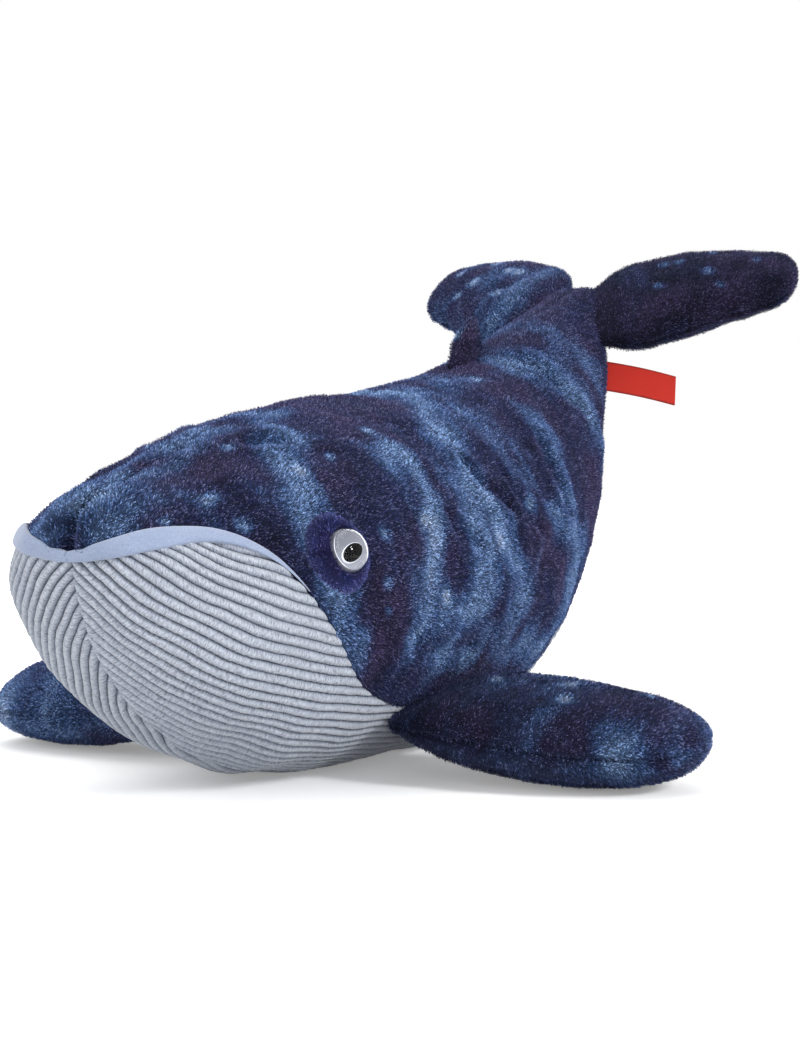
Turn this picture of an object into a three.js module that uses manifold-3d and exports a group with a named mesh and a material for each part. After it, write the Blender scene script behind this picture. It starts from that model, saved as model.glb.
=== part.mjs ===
// A stuffed plush whale: sewn skin panels round stuffed forms, with flippers, flukes, a back fin, eyes
// and a tag.
// Millimetres. The nose points along -Y, up is +Z, and the whale's left side is +X.
import * as THREE from "three";
import { mergeVertices } from "three/addons/utils/BufferGeometryUtils.js";
import Module from "manifold-3d";

const wasm = await Module();
wasm.setup();

const degrees = THREE.MathUtils.degToRad;

// Body
const bodyLength = 459; // from the nose to the end of the tail stock
const bodyHeight = 170; // from belly to back at the shoulders
const bodyWidth = 164; // from flank to flank
const restDepth = 0.5; // how deep the belly is flattened where it rests

// Cloth, stuffing and seams
const pileThickness = 4; // plush with its pile
const cordThickness = 3; // corduroy
const seamGap = 0.4; // between sewn panels
const stuffingGap = 0.4; // between a skin and its stuffing
const cutOverrun = 5; // how far a cutting solid runs past what it cuts

// Lip: a smooth rolled band along the mouth line
const lipHeight = 9.5;
const lipProud = 1.8;
const lipSunk = 2;

// Eyes: a moulded dome over a painted disc, with a shank and a locking washer inside the head
const eyeDiameter = 18;
const eyeDomeHeight = 7;
const eyeDomeWall = 1.5; // straight wall at the dome's foot
const eyeSeat = 1.5; // how deep the dome sits in its patch
const eyeClearance = 0.3;
const irisDiameter = 15;
const irisThickness = 0.8;
const pupilDiameter = 8.5;
const pupilThickness = 0.5;
const pupilDrop = 1.6; // the pupil sits below the middle of the disc
const flangeDiameter = 14;
const flangeThickness = 1.2;
const shankDiameter = 5;
const shankLength = 14;
const washerDiameter = 16;
const washerThickness = 1.2;
const patchDiameter = 33;
const patchShift = 4; // the patch lies forward of the eye

// Flippers
const flipperSpan = 117;
const flipperChord = 82;
const flipperThickness = 42;
const flipperRootRadius = 4;
const flipperDroopAngle = degrees(5.5);
const flipperSweepAngle = degrees(6.5);
const flipperPitchAngle = degrees(6); // the leading edge is lower than the trailing one

// Flukes
const flukeSpan = 98;
const flukeChord = 63;
const flukeThickness = 30;
const flukeRootRadius = 3.5;
const flukeRiseAngle = degrees(40); // slope of the fluke from front to back
const flukeDroopAngle = degrees(10);
const flukeSweepAngle = degrees(18);

// Back fin
const finChord = 40;
const finSpan = 17;
const finThickness = 11;
const finRootRadius = 1.6;
const finSweepAngle = degrees(35);

// Tag: a folded ribbon sewn in the seam beside the tail
const tagLength = 41;
const tagWidth = 18;
const tagRibbon = 0.4;
const tagFold = 0.4; // between the ribbon's two layers

// Where things sit: how far back from the nose as a share of the body's length, and how high on the
// section as a share of the way from the belly line to the back line
const eyePlaceShares = { back: 0.184, up: 0.645 };
const flipperPlaceShares = { back: 0.385, up: 0.19 };
const flukePlaceShares = { back: 0.972, up: 0.52 };
const finPlaceShare = 0.745;
const tagPlaceShare = 0.927;
const cornerPlaceShare = 0.134; // the corner of the mouth

// Body stations from the nose to the tail. Each row gives the back line's place and height, the belly
// line's place and height, half the width, and the height of the seam between back and belly cloth.
// Places are shares of the body's length, heights of its height, widths of its width, and the seam's
// height is a share of the way from the belly line to the back line.
const bodyStationShares = [
  [0.0, 0.6, 0.0, 0.59, 0.0, 0.52],
  [0.005, 0.672, 0.004, 0.53, 0.235, 0.6],
  [0.016, 0.705, 0.014, 0.465, 0.375, 0.69],
  [0.038, 0.738, 0.03, 0.38, 0.51, 0.73],
  [0.072, 0.767, 0.055, 0.295, 0.64, 0.735],
  [0.115, 0.808, 0.092, 0.2, 0.765, 0.65],
  [0.17, 0.862, 0.145, 0.115, 0.875, 0.45],
  [0.238, 0.912, 0.213, 0.045, 0.95, 0.285],
  [0.315, 0.952, 0.293, 0.014, 0.99, 0.205],
  [0.393, 0.98, 0.385, 0.002, 1.0, 0.185],
  [0.47, 1.0, 0.49, 0.0, 0.985, 0.185],
  [0.545, 1.027, 0.6, 0.013, 0.935, 0.19],
  [0.615, 1.06, 0.695, 0.1, 0.86, 0.235],
  [0.68, 1.1, 0.78, 0.25, 0.76, 0.275],
  [0.74, 1.15, 0.85, 0.42, 0.65, 0.285],
  [0.8, 1.21, 0.9, 0.63, 0.53, 0.28],
  [0.86, 1.272, 0.935, 0.85, 0.42, 0.275],
  [0.925, 1.34, 0.962, 1.075, 0.33, 0.29],
  [0.98, 1.39, 0.984, 1.24, 0.255, 0.33],
  [0.994, 1.378, 0.996, 1.275, 0.175, 0.4],
  [1.0, 1.335, 1.0, 1.325, 0.0, 0.5],
];
const lastStation = bodyStationShares.length - 1;
const bodyColumns = ["backPlace", "backHeight", "bellyPlace", "bellyHeight", "width", "seam"];
const widestShare = 0.5; // the widest point of a section, from belly line to back line
const backSquareness = 1.95;
const bellySquareness = 1.8;

// Lip height from the nose to the corner of the mouth, as shares of the full height
const lipHeightShares = [[0.45], [0.75], [0.97], [1], [0.92], [0.7], [0.25]];

// Paddle stations from root to tip. Each row gives the span, the leading and trailing edges as shares
// of the chord, and the thickness.
const flipperShares = [
  [0.0, -0.43, 0.44, 0.19],
  [0.05, -0.46, 0.47, 0.48],
  [0.14, -0.49, 0.5, 0.78],
  [0.28, -0.5, 0.5, 0.97],
  [0.45, -0.5, 0.5, 1.0],
  [0.62, -0.48, 0.5, 0.98],
  [0.77, -0.42, 0.47, 0.89],
  [0.89, -0.3, 0.39, 0.7],
  [0.96, -0.16, 0.28, 0.46],
  [1.0, -0.02, 0.12, 0.12],
];
const flukeShares = [
  [0.0, -0.41, 0.46, 0.25],
  [0.06, -0.45, 0.56, 0.5],
  [0.16, -0.48, 0.65, 0.78],
  [0.3, -0.5, 0.66, 0.96],
  [0.46, -0.48, 0.6, 1.0],
  [0.62, -0.44, 0.5, 0.95],
  [0.78, -0.39, 0.4, 0.84],
  [0.9, -0.31, 0.3, 0.64],
  [0.97, -0.2, 0.18, 0.4],
  [1.0, 0.0, 0.1, 0.12],
];
const finShares = [
  [0.0, -0.5, 0.5, 0.3],
  [0.25, -0.42, 0.36, 0.8],
  [0.5, -0.34, 0.26, 1.0],
  [0.75, -0.24, 0.2, 0.85],
  [0.93, -0.14, 0.14, 0.5],
  [1.0, -0.04, 0.06, 0.15],
];

// How finely the curved forms are drawn
const backCount = 8;
const bellyCount = 6;
const bodyCount = 17;
const lipCount = 9;
const lipRingCount = 8;
const lipCrowding = 1.4; // how much closer to each other the lip's rings are towards the nose
const eyeCount = 16;
const domeCount = 4;
const limbCount = 11;
const limbRingCount = 14;
const stuffingCount = 8;
const stuffingRingCount = 10;
const finCount = 7;
const finRingCount = 10;
const rootCount = 3;
const foldCount = 4;
const endStation = 0.12; // how far from the very nose and the very end the cloth starts
const nextStation = 0.5; // one more row of cloth between the start and the first full station
const smallStep = 0.01; // of a station or an angle, to find which way the surface runs
const stationTolerance = 1e-6;
const thinnestShare = 0.125; // least half thickness of a paddle's end, as a share of its root's radius

// Even steps from a start to an end.
function steps(start, end, count) {
  const whole = Math.round(count);
  return Array.from({ length: whole + 1 }, (_, i) => start + ((end - start) * i) / whole);
}

// Value of one column of a table of stations at a place between its rows, on a smooth curve.
function along(rows, column, place) {
  const row = Math.min(Math.floor(place), rows.length - 2);
  const f = place - row;
  const [a, b, c, d] = [-1, 0, 1, 2].map(
    (step) => rows[THREE.MathUtils.clamp(row + step, 0, rows.length - 1)][column],
  );
  return b + 0.5 * f * (c - a + f * (2 * a - 5 * b + 4 * c - d + f * (3 * (b - c) + d - a)));
}

// Value of a named column of the body's table at a station.
function columnAt(name, station) {
  return along(bodyStationShares, bodyColumns.indexOf(name), station);
}

// The back line's and the belly line's points at a station of the body.
function sectionEnds(station) {
  const at = (name) => columnAt(name, station);
  return {
    back: new THREE.Vector3(0, at("backPlace") * bodyLength, at("backHeight") * bodyHeight),
    belly: new THREE.Vector3(0, at("bellyPlace") * bodyLength, at("bellyHeight") * bodyHeight),
  };
}

// A point of the body's surface: angle 0 is the back line and half a turn the belly line. Left is positive.
function bodyPoint(station, angle) {
  const { back, belly } = sectionEnds(station);
  const upper = Math.cos(angle) > 0;
  const power = 2 / (upper ? backSquareness : bellySquareness);
  const rise = Math.abs(Math.cos(angle)) ** power;
  const side = Math.sign(Math.sin(angle)) * Math.abs(Math.sin(angle)) ** power;
  const middle = belly.clone().lerp(back, widestShare);
  const point = middle.lerp(upper ? back : belly, rise);
  return point.setX((side * columnAt("width", station) * bodyWidth) / 2);
}

// The angle at which a section reaches a share of the way from the belly line to the back line.
function angleAt(share) {
  if (share > widestShare)
    return Math.acos(((share - widestShare) / (1 - widestShare)) ** (backSquareness / 2));
  return Math.PI - Math.acos(((widestShare - share) / widestShare) ** (bellySquareness / 2));
}

// The angle of the seam between back and belly cloth, which is also the mouth line.
function seamAngle(station) {
  return angleAt(columnAt("seam", station));
}

// The station whose section has its middle a share of the body's length behind the nose.
function stationAt(share) {
  let [low, high] = [0, lastStation];
  while (high - low > stationTolerance) {
    const middle = (low + high) / 2;
    const { back, belly } = sectionEnds(middle);
    if ((back.y + belly.y) / 2 < share * bodyLength) low = middle;
    else high = middle;
  }
  return low;
}

// Unit vectors at a point of the body's surface: outwards, and backwards along the body.
function bodyFrame(station, angle) {
  const ahead = bodyPoint(Math.min(station + smallStep, lastStation), angle);
  const behind = bodyPoint(Math.max(station - smallStep, smallStep), angle);
  const back = ahead.sub(behind).normalize();
  const round = bodyPoint(station, angle + smallStep).sub(bodyPoint(station, angle - smallStep));
  return { out: round.cross(back).normalize(), back };
}

// A point that lies under the body's surface by a depth, or over it by a negative one.
function underBody(station, angle, depth) {
  return bodyPoint(station, angle).addScaledVector(bodyFrame(station, angle).out, -depth);
}

// A manifold-3d solid from a closed three.js geometry.
function solidOf(geometry) {
  const bare = new THREE.BufferGeometry();
  bare.setAttribute("position", geometry.getAttribute("position"));
  if (geometry.index) bare.setIndex(geometry.index);
  const merged = mergeVertices(bare);
  return new wasm.Manifold(
    new wasm.Mesh({
      numProp: 3,
      vertProperties: merged.getAttribute("position").array,
      triVerts: new Uint32Array(merged.index.array),
    }),
  );
}

// A three.js geometry from a manifold-3d solid.
function geometryOf(solid) {
  const { vertProperties, triVerts } = solid.getMesh();
  const geometry = new THREE.BufferGeometry();
  geometry.setAttribute("position", new THREE.BufferAttribute(vertProperties, 3));
  geometry.setIndex(new THREE.BufferAttribute(triVerts, 1));
  return geometry;
}

// A closed solid from points and triangles, with its faces turned out.
function solidFrom(points, triangles) {
  const build = (indices) => {
    const geometry = new THREE.BufferGeometry().setFromPoints(points);
    return solidOf(geometry.setIndex(indices));
  };
  const solid = build(triangles);
  return solid.volume() > 0 ? solid : build(triangles.slice().reverse());
}

// Triangles of a strip between two rows of points, each row given by its points' numbers. The strip's
// diagonals lean the other way from one place on, for a form whose second half mirrors its first.
function strip(row, next, closed, mirrorFrom = Infinity) {
  const count = closed ? row.length : row.length - 1;
  return steps(0, count - 1, count - 1).flatMap((i) => {
    const j = (i + 1) % row.length;
    if (i < mirrorFrom) return [row[i], row[j], next[i], row[j], next[j], next[i]];
    return [row[i], row[j], next[j], row[i], next[j], next[i]];
  });
}

// A thick sheet between an outer and an inner grid of points.
function sheetSolid(outer, inner) {
  const columns = outer[0].length;
  const number = (layer, r, c) => (layer * outer.length + r) * columns + c;
  const rowOf = (layer, r) => outer[0].map((_, c) => number(layer, r, c));
  const columnOf = (layer, c) => outer.map((_, r) => number(layer, r, c));
  const triangles = [];
  for (let r = 0; r < outer.length - 1; r += 1) {
    triangles.push(...strip(rowOf(0, r), rowOf(0, r + 1), false));
    triangles.push(...strip(rowOf(1, r), rowOf(1, r + 1), false).reverse());
  }
  triangles.push(...strip(rowOf(1, 0), rowOf(0, 0), false));
  triangles.push(...strip(rowOf(0, outer.length - 1), rowOf(1, outer.length - 1), false));
  triangles.push(...strip(columnOf(0, 0), columnOf(1, 0), false));
  triangles.push(...strip(columnOf(1, columns - 1), columnOf(0, columns - 1), false));
  return solidFrom([...outer.flat(), ...inner.flat()], triangles);
}

// A solid through closed rings of points, with a fan over each end.
function ringSolid(rings, mirrorFrom) {
  const count = rings[0].length;
  const points = rings.flat();
  const rowOf = (r) => rings[0].map((_, i) => r * count + i);
  const triangles = [];
  for (let r = 0; r < rings.length - 1; r += 1)
    triangles.push(...strip(rowOf(r), rowOf(r + 1), true, mirrorFrom));
  for (const [end, turned] of [
    [0, true],
    [rings.length - 1, false],
  ]) {
    points.push(rings[end].reduce((sum, p) => sum.add(p), new THREE.Vector3()).divideScalar(count));
    const hub = points.length - 1;
    const row = turned ? rowOf(end).reverse() : rowOf(end);
    row.forEach((a, i) => triangles.push(hub, a, row[(i + 1) % count]));
  }
  return solidFrom(points, triangles);
}

// A box between two corners.
function boxSolid(low, high) {
  const size = high.clone().sub(low);
  const centre = low.clone().add(high).multiplyScalar(0.5);
  return solidOf(new THREE.BoxGeometry(...size).translate(...centre));
}

// A solid turned about +Z from a profile of (radius, height) points that starts and ends on the axis.
function turnedSolid(profile) {
  const points = profile.map(([radius, height]) => new THREE.Vector2(radius, height));
  return solidOf(new THREE.LatheGeometry(points, eyeCount).rotateX(Math.PI / 2));
}

function discSolid(diameter, low, high) {
  const radius = diameter / 2;
  return turnedSolid([
    [0, low],
    [radius, low],
    [radius, high],
    [0, high],
  ]);
}

const bodyStations = [
  endStation,
  nextStation,
  ...steps(1, lastStation - 1, bodyCount),
  lastStation - nextStation,
  lastStation - endStation,
];

// The turn of a section's angle that takes half a seam's gap off the edge of a panel.
function seamTrim(station, angle) {
  const [one, other] = [smallStep, -smallStep].map((turn) => bodyPoint(station, angle + turn));
  return (seamGap * smallStep) / one.distanceTo(other);
}

// A sewn panel of the body's left side, from one seam's angle to another's.
function bodyPanel(fromAngle, toAngle, count, thickness) {
  const grid = (depth) =>
    bodyStations.map((station) => {
      const [from, to] = [fromAngle(station), toAngle(station)];
      const angles = steps(from + seamTrim(station, from), to - seamTrim(station, to), count);
      return angles.map((angle) => {
        const point = underBody(station, angle, depth);
        return point.setX(Math.max(point.x, seamGap / 2));
      });
    });
  return sheetSolid(grid(0), grid(thickness));
}

// The body's whole form, at one depth under the back cloth's surface and another under the belly's. The
// right half is the mirror image of the left one, as it is in the cloth.
function bodyForm(backDepth, bellyDepth) {
  const rings = bodyStations.map((station) => {
    const seam = seamAngle(station);
    const left = [
      ...steps(0, seam, backCount).map((angle) => [angle, backDepth]),
      ...steps(seam, Math.PI, bellyCount)
        .slice(1)
        .map((angle) => [angle, bellyDepth]),
    ];
    const right = left.slice(1, -1).map(([angle, depth]) => [-angle, depth]);
    return [...left, ...right.reverse()].map(([angle, depth]) => underBody(station, angle, depth));
  });
  return ringSolid(rings, rings[0].length / 2);
}

// The lip from corner to corner, grown by a clearance where it cuts the cloth beside it.
function lipSolid(clearance) {
  const corner = stationAt(cornerPlaceShare);
  const ringAt = (place, side) => {
    const station = Math.max(endStation, corner * place);
    const angle = seamAngle(station);
    const { out } = bodyFrame(station, angle);
    const seamPoint = (s) => bodyPoint(s, seamAngle(s));
    const run = seamPoint(station + endStation).sub(seamPoint(station - endStation));
    const across = out.clone().cross(run).normalize();
    const height = along(lipHeightShares, 0, place * (lipHeightShares.length - 1)) * lipHeight;
    return steps(0, 2 * Math.PI, lipRingCount)
      .slice(1)
      .map((turn) => {
        const depth = Math.sin(turn) > 0 ? lipProud : lipSunk;
        const point = bodyPoint(station, angle)
          .addScaledVector(across, (height / 2 + clearance) * Math.cos(turn))
          .addScaledVector(out, (depth + clearance) * Math.sin(turn));
        return point.setX(point.x * side);
      });
  };
  const places = steps(0, 1, lipCount).map((place) => place ** lipCrowding);
  const right = places.slice(1).map((place) => ringAt(place, -1));
  const left = places.map((place) => ringAt(place, 1));
  return ringSolid([...right.reverse(), ...left]);
}

// A stuffed paddle under its surface by a depth: +X runs from root to tip, +Y to the trailing edge, and
// +Z to the upper side. The root is round about the Y axis, so that it can swing in its seam.
function paddle(size, depth, count, ringCount) {
  const { shares, span, chord, thickness, rootRadius, sweep } = size;
  const least = rootRadius * thinnestShare;
  const [foot, tip] = [depth / 2, span - depth];
  const ring = (x, lead, trail, halfThick) => {
    const middle = ((lead + trail) / 2) * chord + x * Math.tan(sweep);
    const halfChord = Math.max(((trail - lead) * chord) / 2 - depth, least);
    return steps(0, 2 * Math.PI, ringCount)
      .slice(1)
      .map((turn) => {
        const [across, up] = [Math.cos(turn), Math.sin(turn)];
        return new THREE.Vector3(x, middle + halfChord * across, Math.max(halfThick, least) * up);
      });
  };
  const root = steps(0, Math.PI / 2, rootCount)
    .slice(0, -1)
    .map((turn) => {
      const [, lead, trail] = shares[0];
      return ring(-rootRadius * Math.cos(turn), lead, trail, rootRadius * Math.sin(turn));
    });
  const blade = steps(0, shares.length - 1, count).map((place) => {
    const [out, lead, trail, thick] = shares[0].map((_, column) => along(shares, column, place));
    return ring(foot + out * (tip - foot), lead, trail, (thick * thickness) / 2 - depth);
  });
  return ringSolid(depth > 0 ? blade : [...root, ...blade]);
}

// The two halves of a solid, above and below its own XY plane, with a seam between them.
function seamHalves(solid, reach) {
  const half = (low, high) =>
    solid.intersect(
      boxSolid(new THREE.Vector3(-reach, -reach, low), new THREE.Vector3(reach, reach, high)),
    );
  return { upper: half(seamGap / 2, reach), lower: half(-reach, -seamGap / 2) };
}

const flipperSize = {
  shares: flipperShares,
  span: flipperSpan,
  chord: flipperChord,
  thickness: flipperThickness,
  rootRadius: flipperRootRadius,
  sweep: flipperSweepAngle,
};
const flukeSize = {
  shares: flukeShares,
  span: flukeSpan,
  chord: flukeChord,
  thickness: flukeThickness,
  rootRadius: flukeRootRadius,
  sweep: flukeSweepAngle,
};
const finSize = {
  shares: finShares,
  span: finSpan,
  chord: finChord,
  thickness: finThickness,
  rootRadius: finRootRadius,
  sweep: finSweepAngle,
};

// A stuffed limb: an upper and a lower skin that meet in a seam round the edge, and the stuffing inside.
function limbPieces(size) {
  const inside = (depth) => paddle(size, depth, stuffingCount, stuffingRingCount);
  const skin = paddle(size, 0, limbCount, limbRingCount).subtract(inside(pileThickness));
  return {
    ...seamHalves(skin, size.span + size.chord),
    stuffing: inside(pileThickness + stuffingGap),
  };
}

// Two thin skins sewn face to face, with nothing between them.
function finPieces() {
  const { upper, lower } = seamHalves(paddle(finSize, 0, finCount, finRingCount), finSpan + finChord);
  return { left: lower, right: upper };
}

// A ribbon folded in half: two layers with a round fold at the free end, standing out along +X.
function tagSolid() {
  const half = tagFold / 2 + tagRibbon;
  const inner = tagFold / 2;
  const end = tagLength - half;
  const outline = new THREE.Shape();
  outline.moveTo(0, -half);
  outline.lineTo(end, -half);
  outline.absarc(end, 0, half, -Math.PI / 2, Math.PI / 2, false);
  outline.lineTo(0, half);
  outline.lineTo(0, inner);
  outline.lineTo(end, inner);
  outline.absarc(end, 0, inner, Math.PI / 2, -Math.PI / 2, true);
  outline.lineTo(0, -inner);
  const band = new THREE.ExtrudeGeometry(outline, {
    depth: tagWidth,
    bevelEnabled: false,
    curveSegments: Math.round(foldCount),
  });
  return solidOf(band.translate(0, 0, -tagWidth / 2).rotateX(-Math.PI / 2));
}

// The moulded eye and what holds it, looking out along +Z from the surface of the cheek.
function eyePieces() {
  const foot = -eyeSeat;
  const radius = eyeDiameter / 2;
  const pocket = irisDiameter / 2 + eyeClearance;
  const pupilFoot = foot + irisThickness + eyeClearance;
  const pocketTop = pupilFoot + pupilThickness + eyeClearance;
  const shoulder = foot + eyeDomeWall;
  const arc = steps(0, Math.PI / 2, domeCount).map((turn) => [
    radius * Math.cos(turn),
    shoulder + (eyeDomeHeight - shoulder) * Math.sin(turn),
  ]);
  arc.at(-1)[0] = 0;
  const flangeTop = foot - eyeClearance;
  const flangeFoot = flangeTop - flangeThickness;
  const bore = discSolid(shankDiameter + 2 * eyeClearance, -shankLength, 0);
  return {
    dome: turnedSolid([[0, pocketTop], [pocket, pocketTop], [pocket, foot], [radius, foot], ...arc]),
    iris: discSolid(irisDiameter, foot, foot + irisThickness),
    pupil: discSolid(pupilDiameter, pupilFoot, pupilFoot + pupilThickness).translate(0, -pupilDrop, 0),
    shank: discSolid(flangeDiameter, flangeFoot, flangeTop).add(
      discSolid(shankDiameter, -shankLength, flangeTop),
    ),
    washer: discSolid(washerDiameter, -pileThickness - washerThickness, -pileThickness).subtract(bore),
  };
}

// Room for the eye: what it takes out of the cloth, and what it takes out of the stuffing.
function eyeRoom() {
  const grown = (diameter, low, high) =>
    discSolid(diameter + 2 * eyeClearance, low - eyeClearance, high + eyeClearance);
  const seat = grown(eyeDiameter, -eyeSeat, eyeDomeHeight);
  const flange = grown(flangeDiameter, -eyeSeat - eyeClearance - flangeThickness, 0);
  const post = grown(shankDiameter, -shankLength, 0);
  const washer = grown(washerDiameter, -pileThickness - washerThickness, -pileThickness);
  return { cloth: seat.add(flange).add(post).add(washer), stuffing: post.add(washer) };
}

// A frame at a place, from two of its axes
function frameAt(origin, x, y) {
  return new THREE.Matrix4().makeBasis(x, y, x.clone().cross(y)).setPosition(origin);
}

// A limb's frame at its root on the body's left side. Its plane rises to the back and droops to the tip,
// and its root lies along the body's surface.
function limbFrame(place, rootRadius, rise, droop) {
  const station = stationAt(place.back);
  const angle = angleAt(place.up);
  const { out } = bodyFrame(station, angle);
  const back = new THREE.Vector3(0, Math.cos(rise), Math.sin(rise));
  back.setX(-out.dot(back) / out.x).normalize();
  const level = new THREE.Vector3(1, 0, 0).addScaledVector(back, -back.x).normalize();
  const tilted = level.clone().applyAxisAngle(back, droop);
  return frameAt(underBody(station, angle, -rootRadius - seamGap), tilted, back);
}

function flipperFrame() {
  return limbFrame(flipperPlaceShares, flipperRootRadius, flipperPitchAngle, flipperDroopAngle);
}

function flukeFrame() {
  return limbFrame(flukePlaceShares, flukeRootRadius, flukeRiseAngle, flukeDroopAngle);
}

function finFrame() {
  const station = stationAt(finPlaceShare);
  const { out, back } = bodyFrame(station, 0);
  return frameAt(underBody(station, 0, -finRootRadius - seamGap), out, back);
}

function tagFrame() {
  const station = stationAt(tagPlaceShare);
  const angle = seamAngle(station);
  const seamPoint = (s) => bodyPoint(s, seamAngle(s));
  const run = seamPoint(station + smallStep).sub(seamPoint(station - smallStep)).normalize();
  const { out } = bodyFrame(station, angle);
  const root = underBody(station, angle, -tagFold / 2 - tagRibbon - seamGap);
  return frameAt(root, out.addScaledVector(run, -out.dot(run)).normalize(), run);
}

function eyeFrame() {
  const station = stationAt(eyePlaceShares.back);
  const angle = angleAt(eyePlaceShares.up);
  const { out } = bodyFrame(station, angle);
  const up = new THREE.Vector3(0, 0, 1).addScaledVector(out, -out.z).normalize();
  return frameAt(bodyPoint(station, angle), up.clone().cross(out), up);
}

// Colours of the cloths and mouldings
function finish(color, roughness, metalness = 0) {
  return new THREE.MeshStandardMaterial({ color, roughness, metalness });
}
const printedPlush = finish(0x222c5c, 0.95);
const corduroy = finish(0xb7c0d0, 0.9);
const velour = finish(0xa9c4e6, 0.85);
const patchPlush = finish(0x2b2358, 0.95);
const fibre = finish(0xf2f2ee, 1);
const clearPlastic = finish(0xe8ecef, 0.05);
const silverPaint = finish(0xa7abae, 0.4, 0.3);
const blackPaint = finish(0x0b0b0c, 0.3);
const whitePlastic = finish(0xdadada, 0.5);
const ribbonWeave = finish(0xb52a1e, 0.7);

const whale = new THREE.Group();

function addPiece(name, solid, material) {
  const mesh = new THREE.Mesh(geometryOf(solid), material);
  mesh.name = name;
  whale.add(mesh);
}

// Adds a piece of the left side and its mirror image on the right.
function addPair(name, solid, material) {
  addPiece(`${name}_left`, solid, material);
  addPiece(`${name}_right`, solid.mirror([1, 0, 0]), material);
}

const eyeMatrix = eyeFrame().elements;
const room = eyeRoom();
const eyeInCloth = room.cloth.transform(eyeMatrix);
const eyeInStuffing = room.stuffing.transform(eyeMatrix);

// The round patch of cloth about the eye, and the hole in the back panel that it fills
function patchDisc(clearance) {
  const reach = patchDiameter / 2;
  const disc = discSolid(patchDiameter + 2 * clearance, -reach, reach);
  return disc.translate(-patchShift, 0, 0).transform(eyeMatrix);
}

// Body skins
const lipRoom = lipSolid(seamGap);
const backPanel = bodyPanel(() => 0, seamAngle, backCount, pileThickness);
const bellyPanel = bodyPanel(seamAngle, () => Math.PI, bellyCount, cordThickness).subtract(lipRoom);
const bellyBounds = bellyPanel.boundingBox();
const restHeight = bellyBounds.min[2] + restDepth;
const aboveRest = boxSolid(
  new THREE.Vector3(-bodyWidth, -cutOverrun, restHeight),
  new THREE.Vector3(bodyWidth, bodyLength + cutOverrun, bodyLength),
);
addPair("back_panel", backPanel.subtract(patchDisc(seamGap)).subtract(lipRoom), printedPlush);
addPair("belly_panel", bellyPanel.intersect(aboveRest), corduroy);
addPair("eye_patch", backPanel.intersect(patchDisc(0)).subtract(eyeInCloth).subtract(lipRoom), patchPlush);
addPiece("lip_band", lipSolid(0), velour);

// Stuffing of the head, body and tail
const bodyStuffing = bodyForm(pileThickness + stuffingGap, cordThickness + stuffingGap);
addPiece(
  "body_stuffing",
  bodyStuffing.subtract(eyeInStuffing).subtract(eyeInStuffing.mirror([1, 0, 0])),
  fibre,
);

// Eyes
const eyeFinishes = {
  dome: clearPlastic,
  iris: silverPaint,
  pupil: blackPaint,
  shank: whitePlastic,
  washer: whitePlastic,
};
for (const [part, solid] of Object.entries(eyePieces()))
  addPair(`eye_${part}`, solid.transform(eyeMatrix), eyeFinishes[part]);

// Flippers and flukes
const limbFinishes = { upper: printedPlush, lower: printedPlush, stuffing: fibre };
const bodyRoom = bodyForm(-seamGap, -seamGap);
for (const [limb, size, frame] of [
  ["flipper", flipperSize, flipperFrame()],
  ["fluke", flukeSize, flukeFrame()],
]) {
  for (const [part, solid] of Object.entries(limbPieces(size)))
    addPair(`${limb}_${part}`, solid.transform(frame.elements).subtract(bodyRoom), limbFinishes[part]);
}

// Back fin and tag
for (const [side, solid] of Object.entries(finPieces()))
  addPiece(`back_fin_${side}`, solid.transform(finFrame().elements).subtract(bodyRoom), printedPlush);
addPiece("tail_tag", tagSolid().transform(tagFrame().elements), ribbonWeave);

// The origin is on the ground under the middle of the whale.
const bounds = new THREE.Box3().setFromObject(whale);
whale.position.set(0, -(bounds.min.y + bounds.max.y) / 2, -restHeight);

export default whale;
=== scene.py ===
import math

import bpy
import numpy as np
from mathutils import Matrix, Vector
from mathutils.bvhtree import BVHTree


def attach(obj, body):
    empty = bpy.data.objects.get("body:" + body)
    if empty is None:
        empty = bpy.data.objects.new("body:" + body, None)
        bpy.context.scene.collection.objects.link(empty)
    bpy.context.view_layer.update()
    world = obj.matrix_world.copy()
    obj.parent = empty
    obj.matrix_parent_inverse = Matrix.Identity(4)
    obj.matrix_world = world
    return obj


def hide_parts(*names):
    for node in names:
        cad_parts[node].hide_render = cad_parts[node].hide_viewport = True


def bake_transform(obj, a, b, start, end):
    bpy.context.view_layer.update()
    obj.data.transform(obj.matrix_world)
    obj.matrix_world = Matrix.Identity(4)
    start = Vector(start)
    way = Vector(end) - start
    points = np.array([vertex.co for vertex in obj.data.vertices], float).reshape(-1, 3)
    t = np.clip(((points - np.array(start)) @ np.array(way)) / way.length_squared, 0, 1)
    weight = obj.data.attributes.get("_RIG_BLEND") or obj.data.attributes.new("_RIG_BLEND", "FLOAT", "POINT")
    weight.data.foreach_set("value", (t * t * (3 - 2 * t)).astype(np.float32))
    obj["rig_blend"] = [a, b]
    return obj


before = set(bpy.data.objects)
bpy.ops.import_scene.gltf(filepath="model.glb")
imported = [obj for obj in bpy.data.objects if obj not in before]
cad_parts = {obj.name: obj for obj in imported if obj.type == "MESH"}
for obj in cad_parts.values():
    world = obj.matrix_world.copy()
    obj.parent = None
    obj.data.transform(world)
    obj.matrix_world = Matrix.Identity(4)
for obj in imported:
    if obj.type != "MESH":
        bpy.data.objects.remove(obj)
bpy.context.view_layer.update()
bpy.ops.object.select_all(action="DESELECT")

# camera

PHOTO = (800, 1040)
FOCAL = 2090  # pixels over the photograph's height
HORIZON = 461  # the row at the camera's own height
EYE_POINT = Vector((0.5042, -0.8732, 0.137))
TURN = math.radians(30)
SENSOR = 36  # millimetres, over the photograph's height

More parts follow.
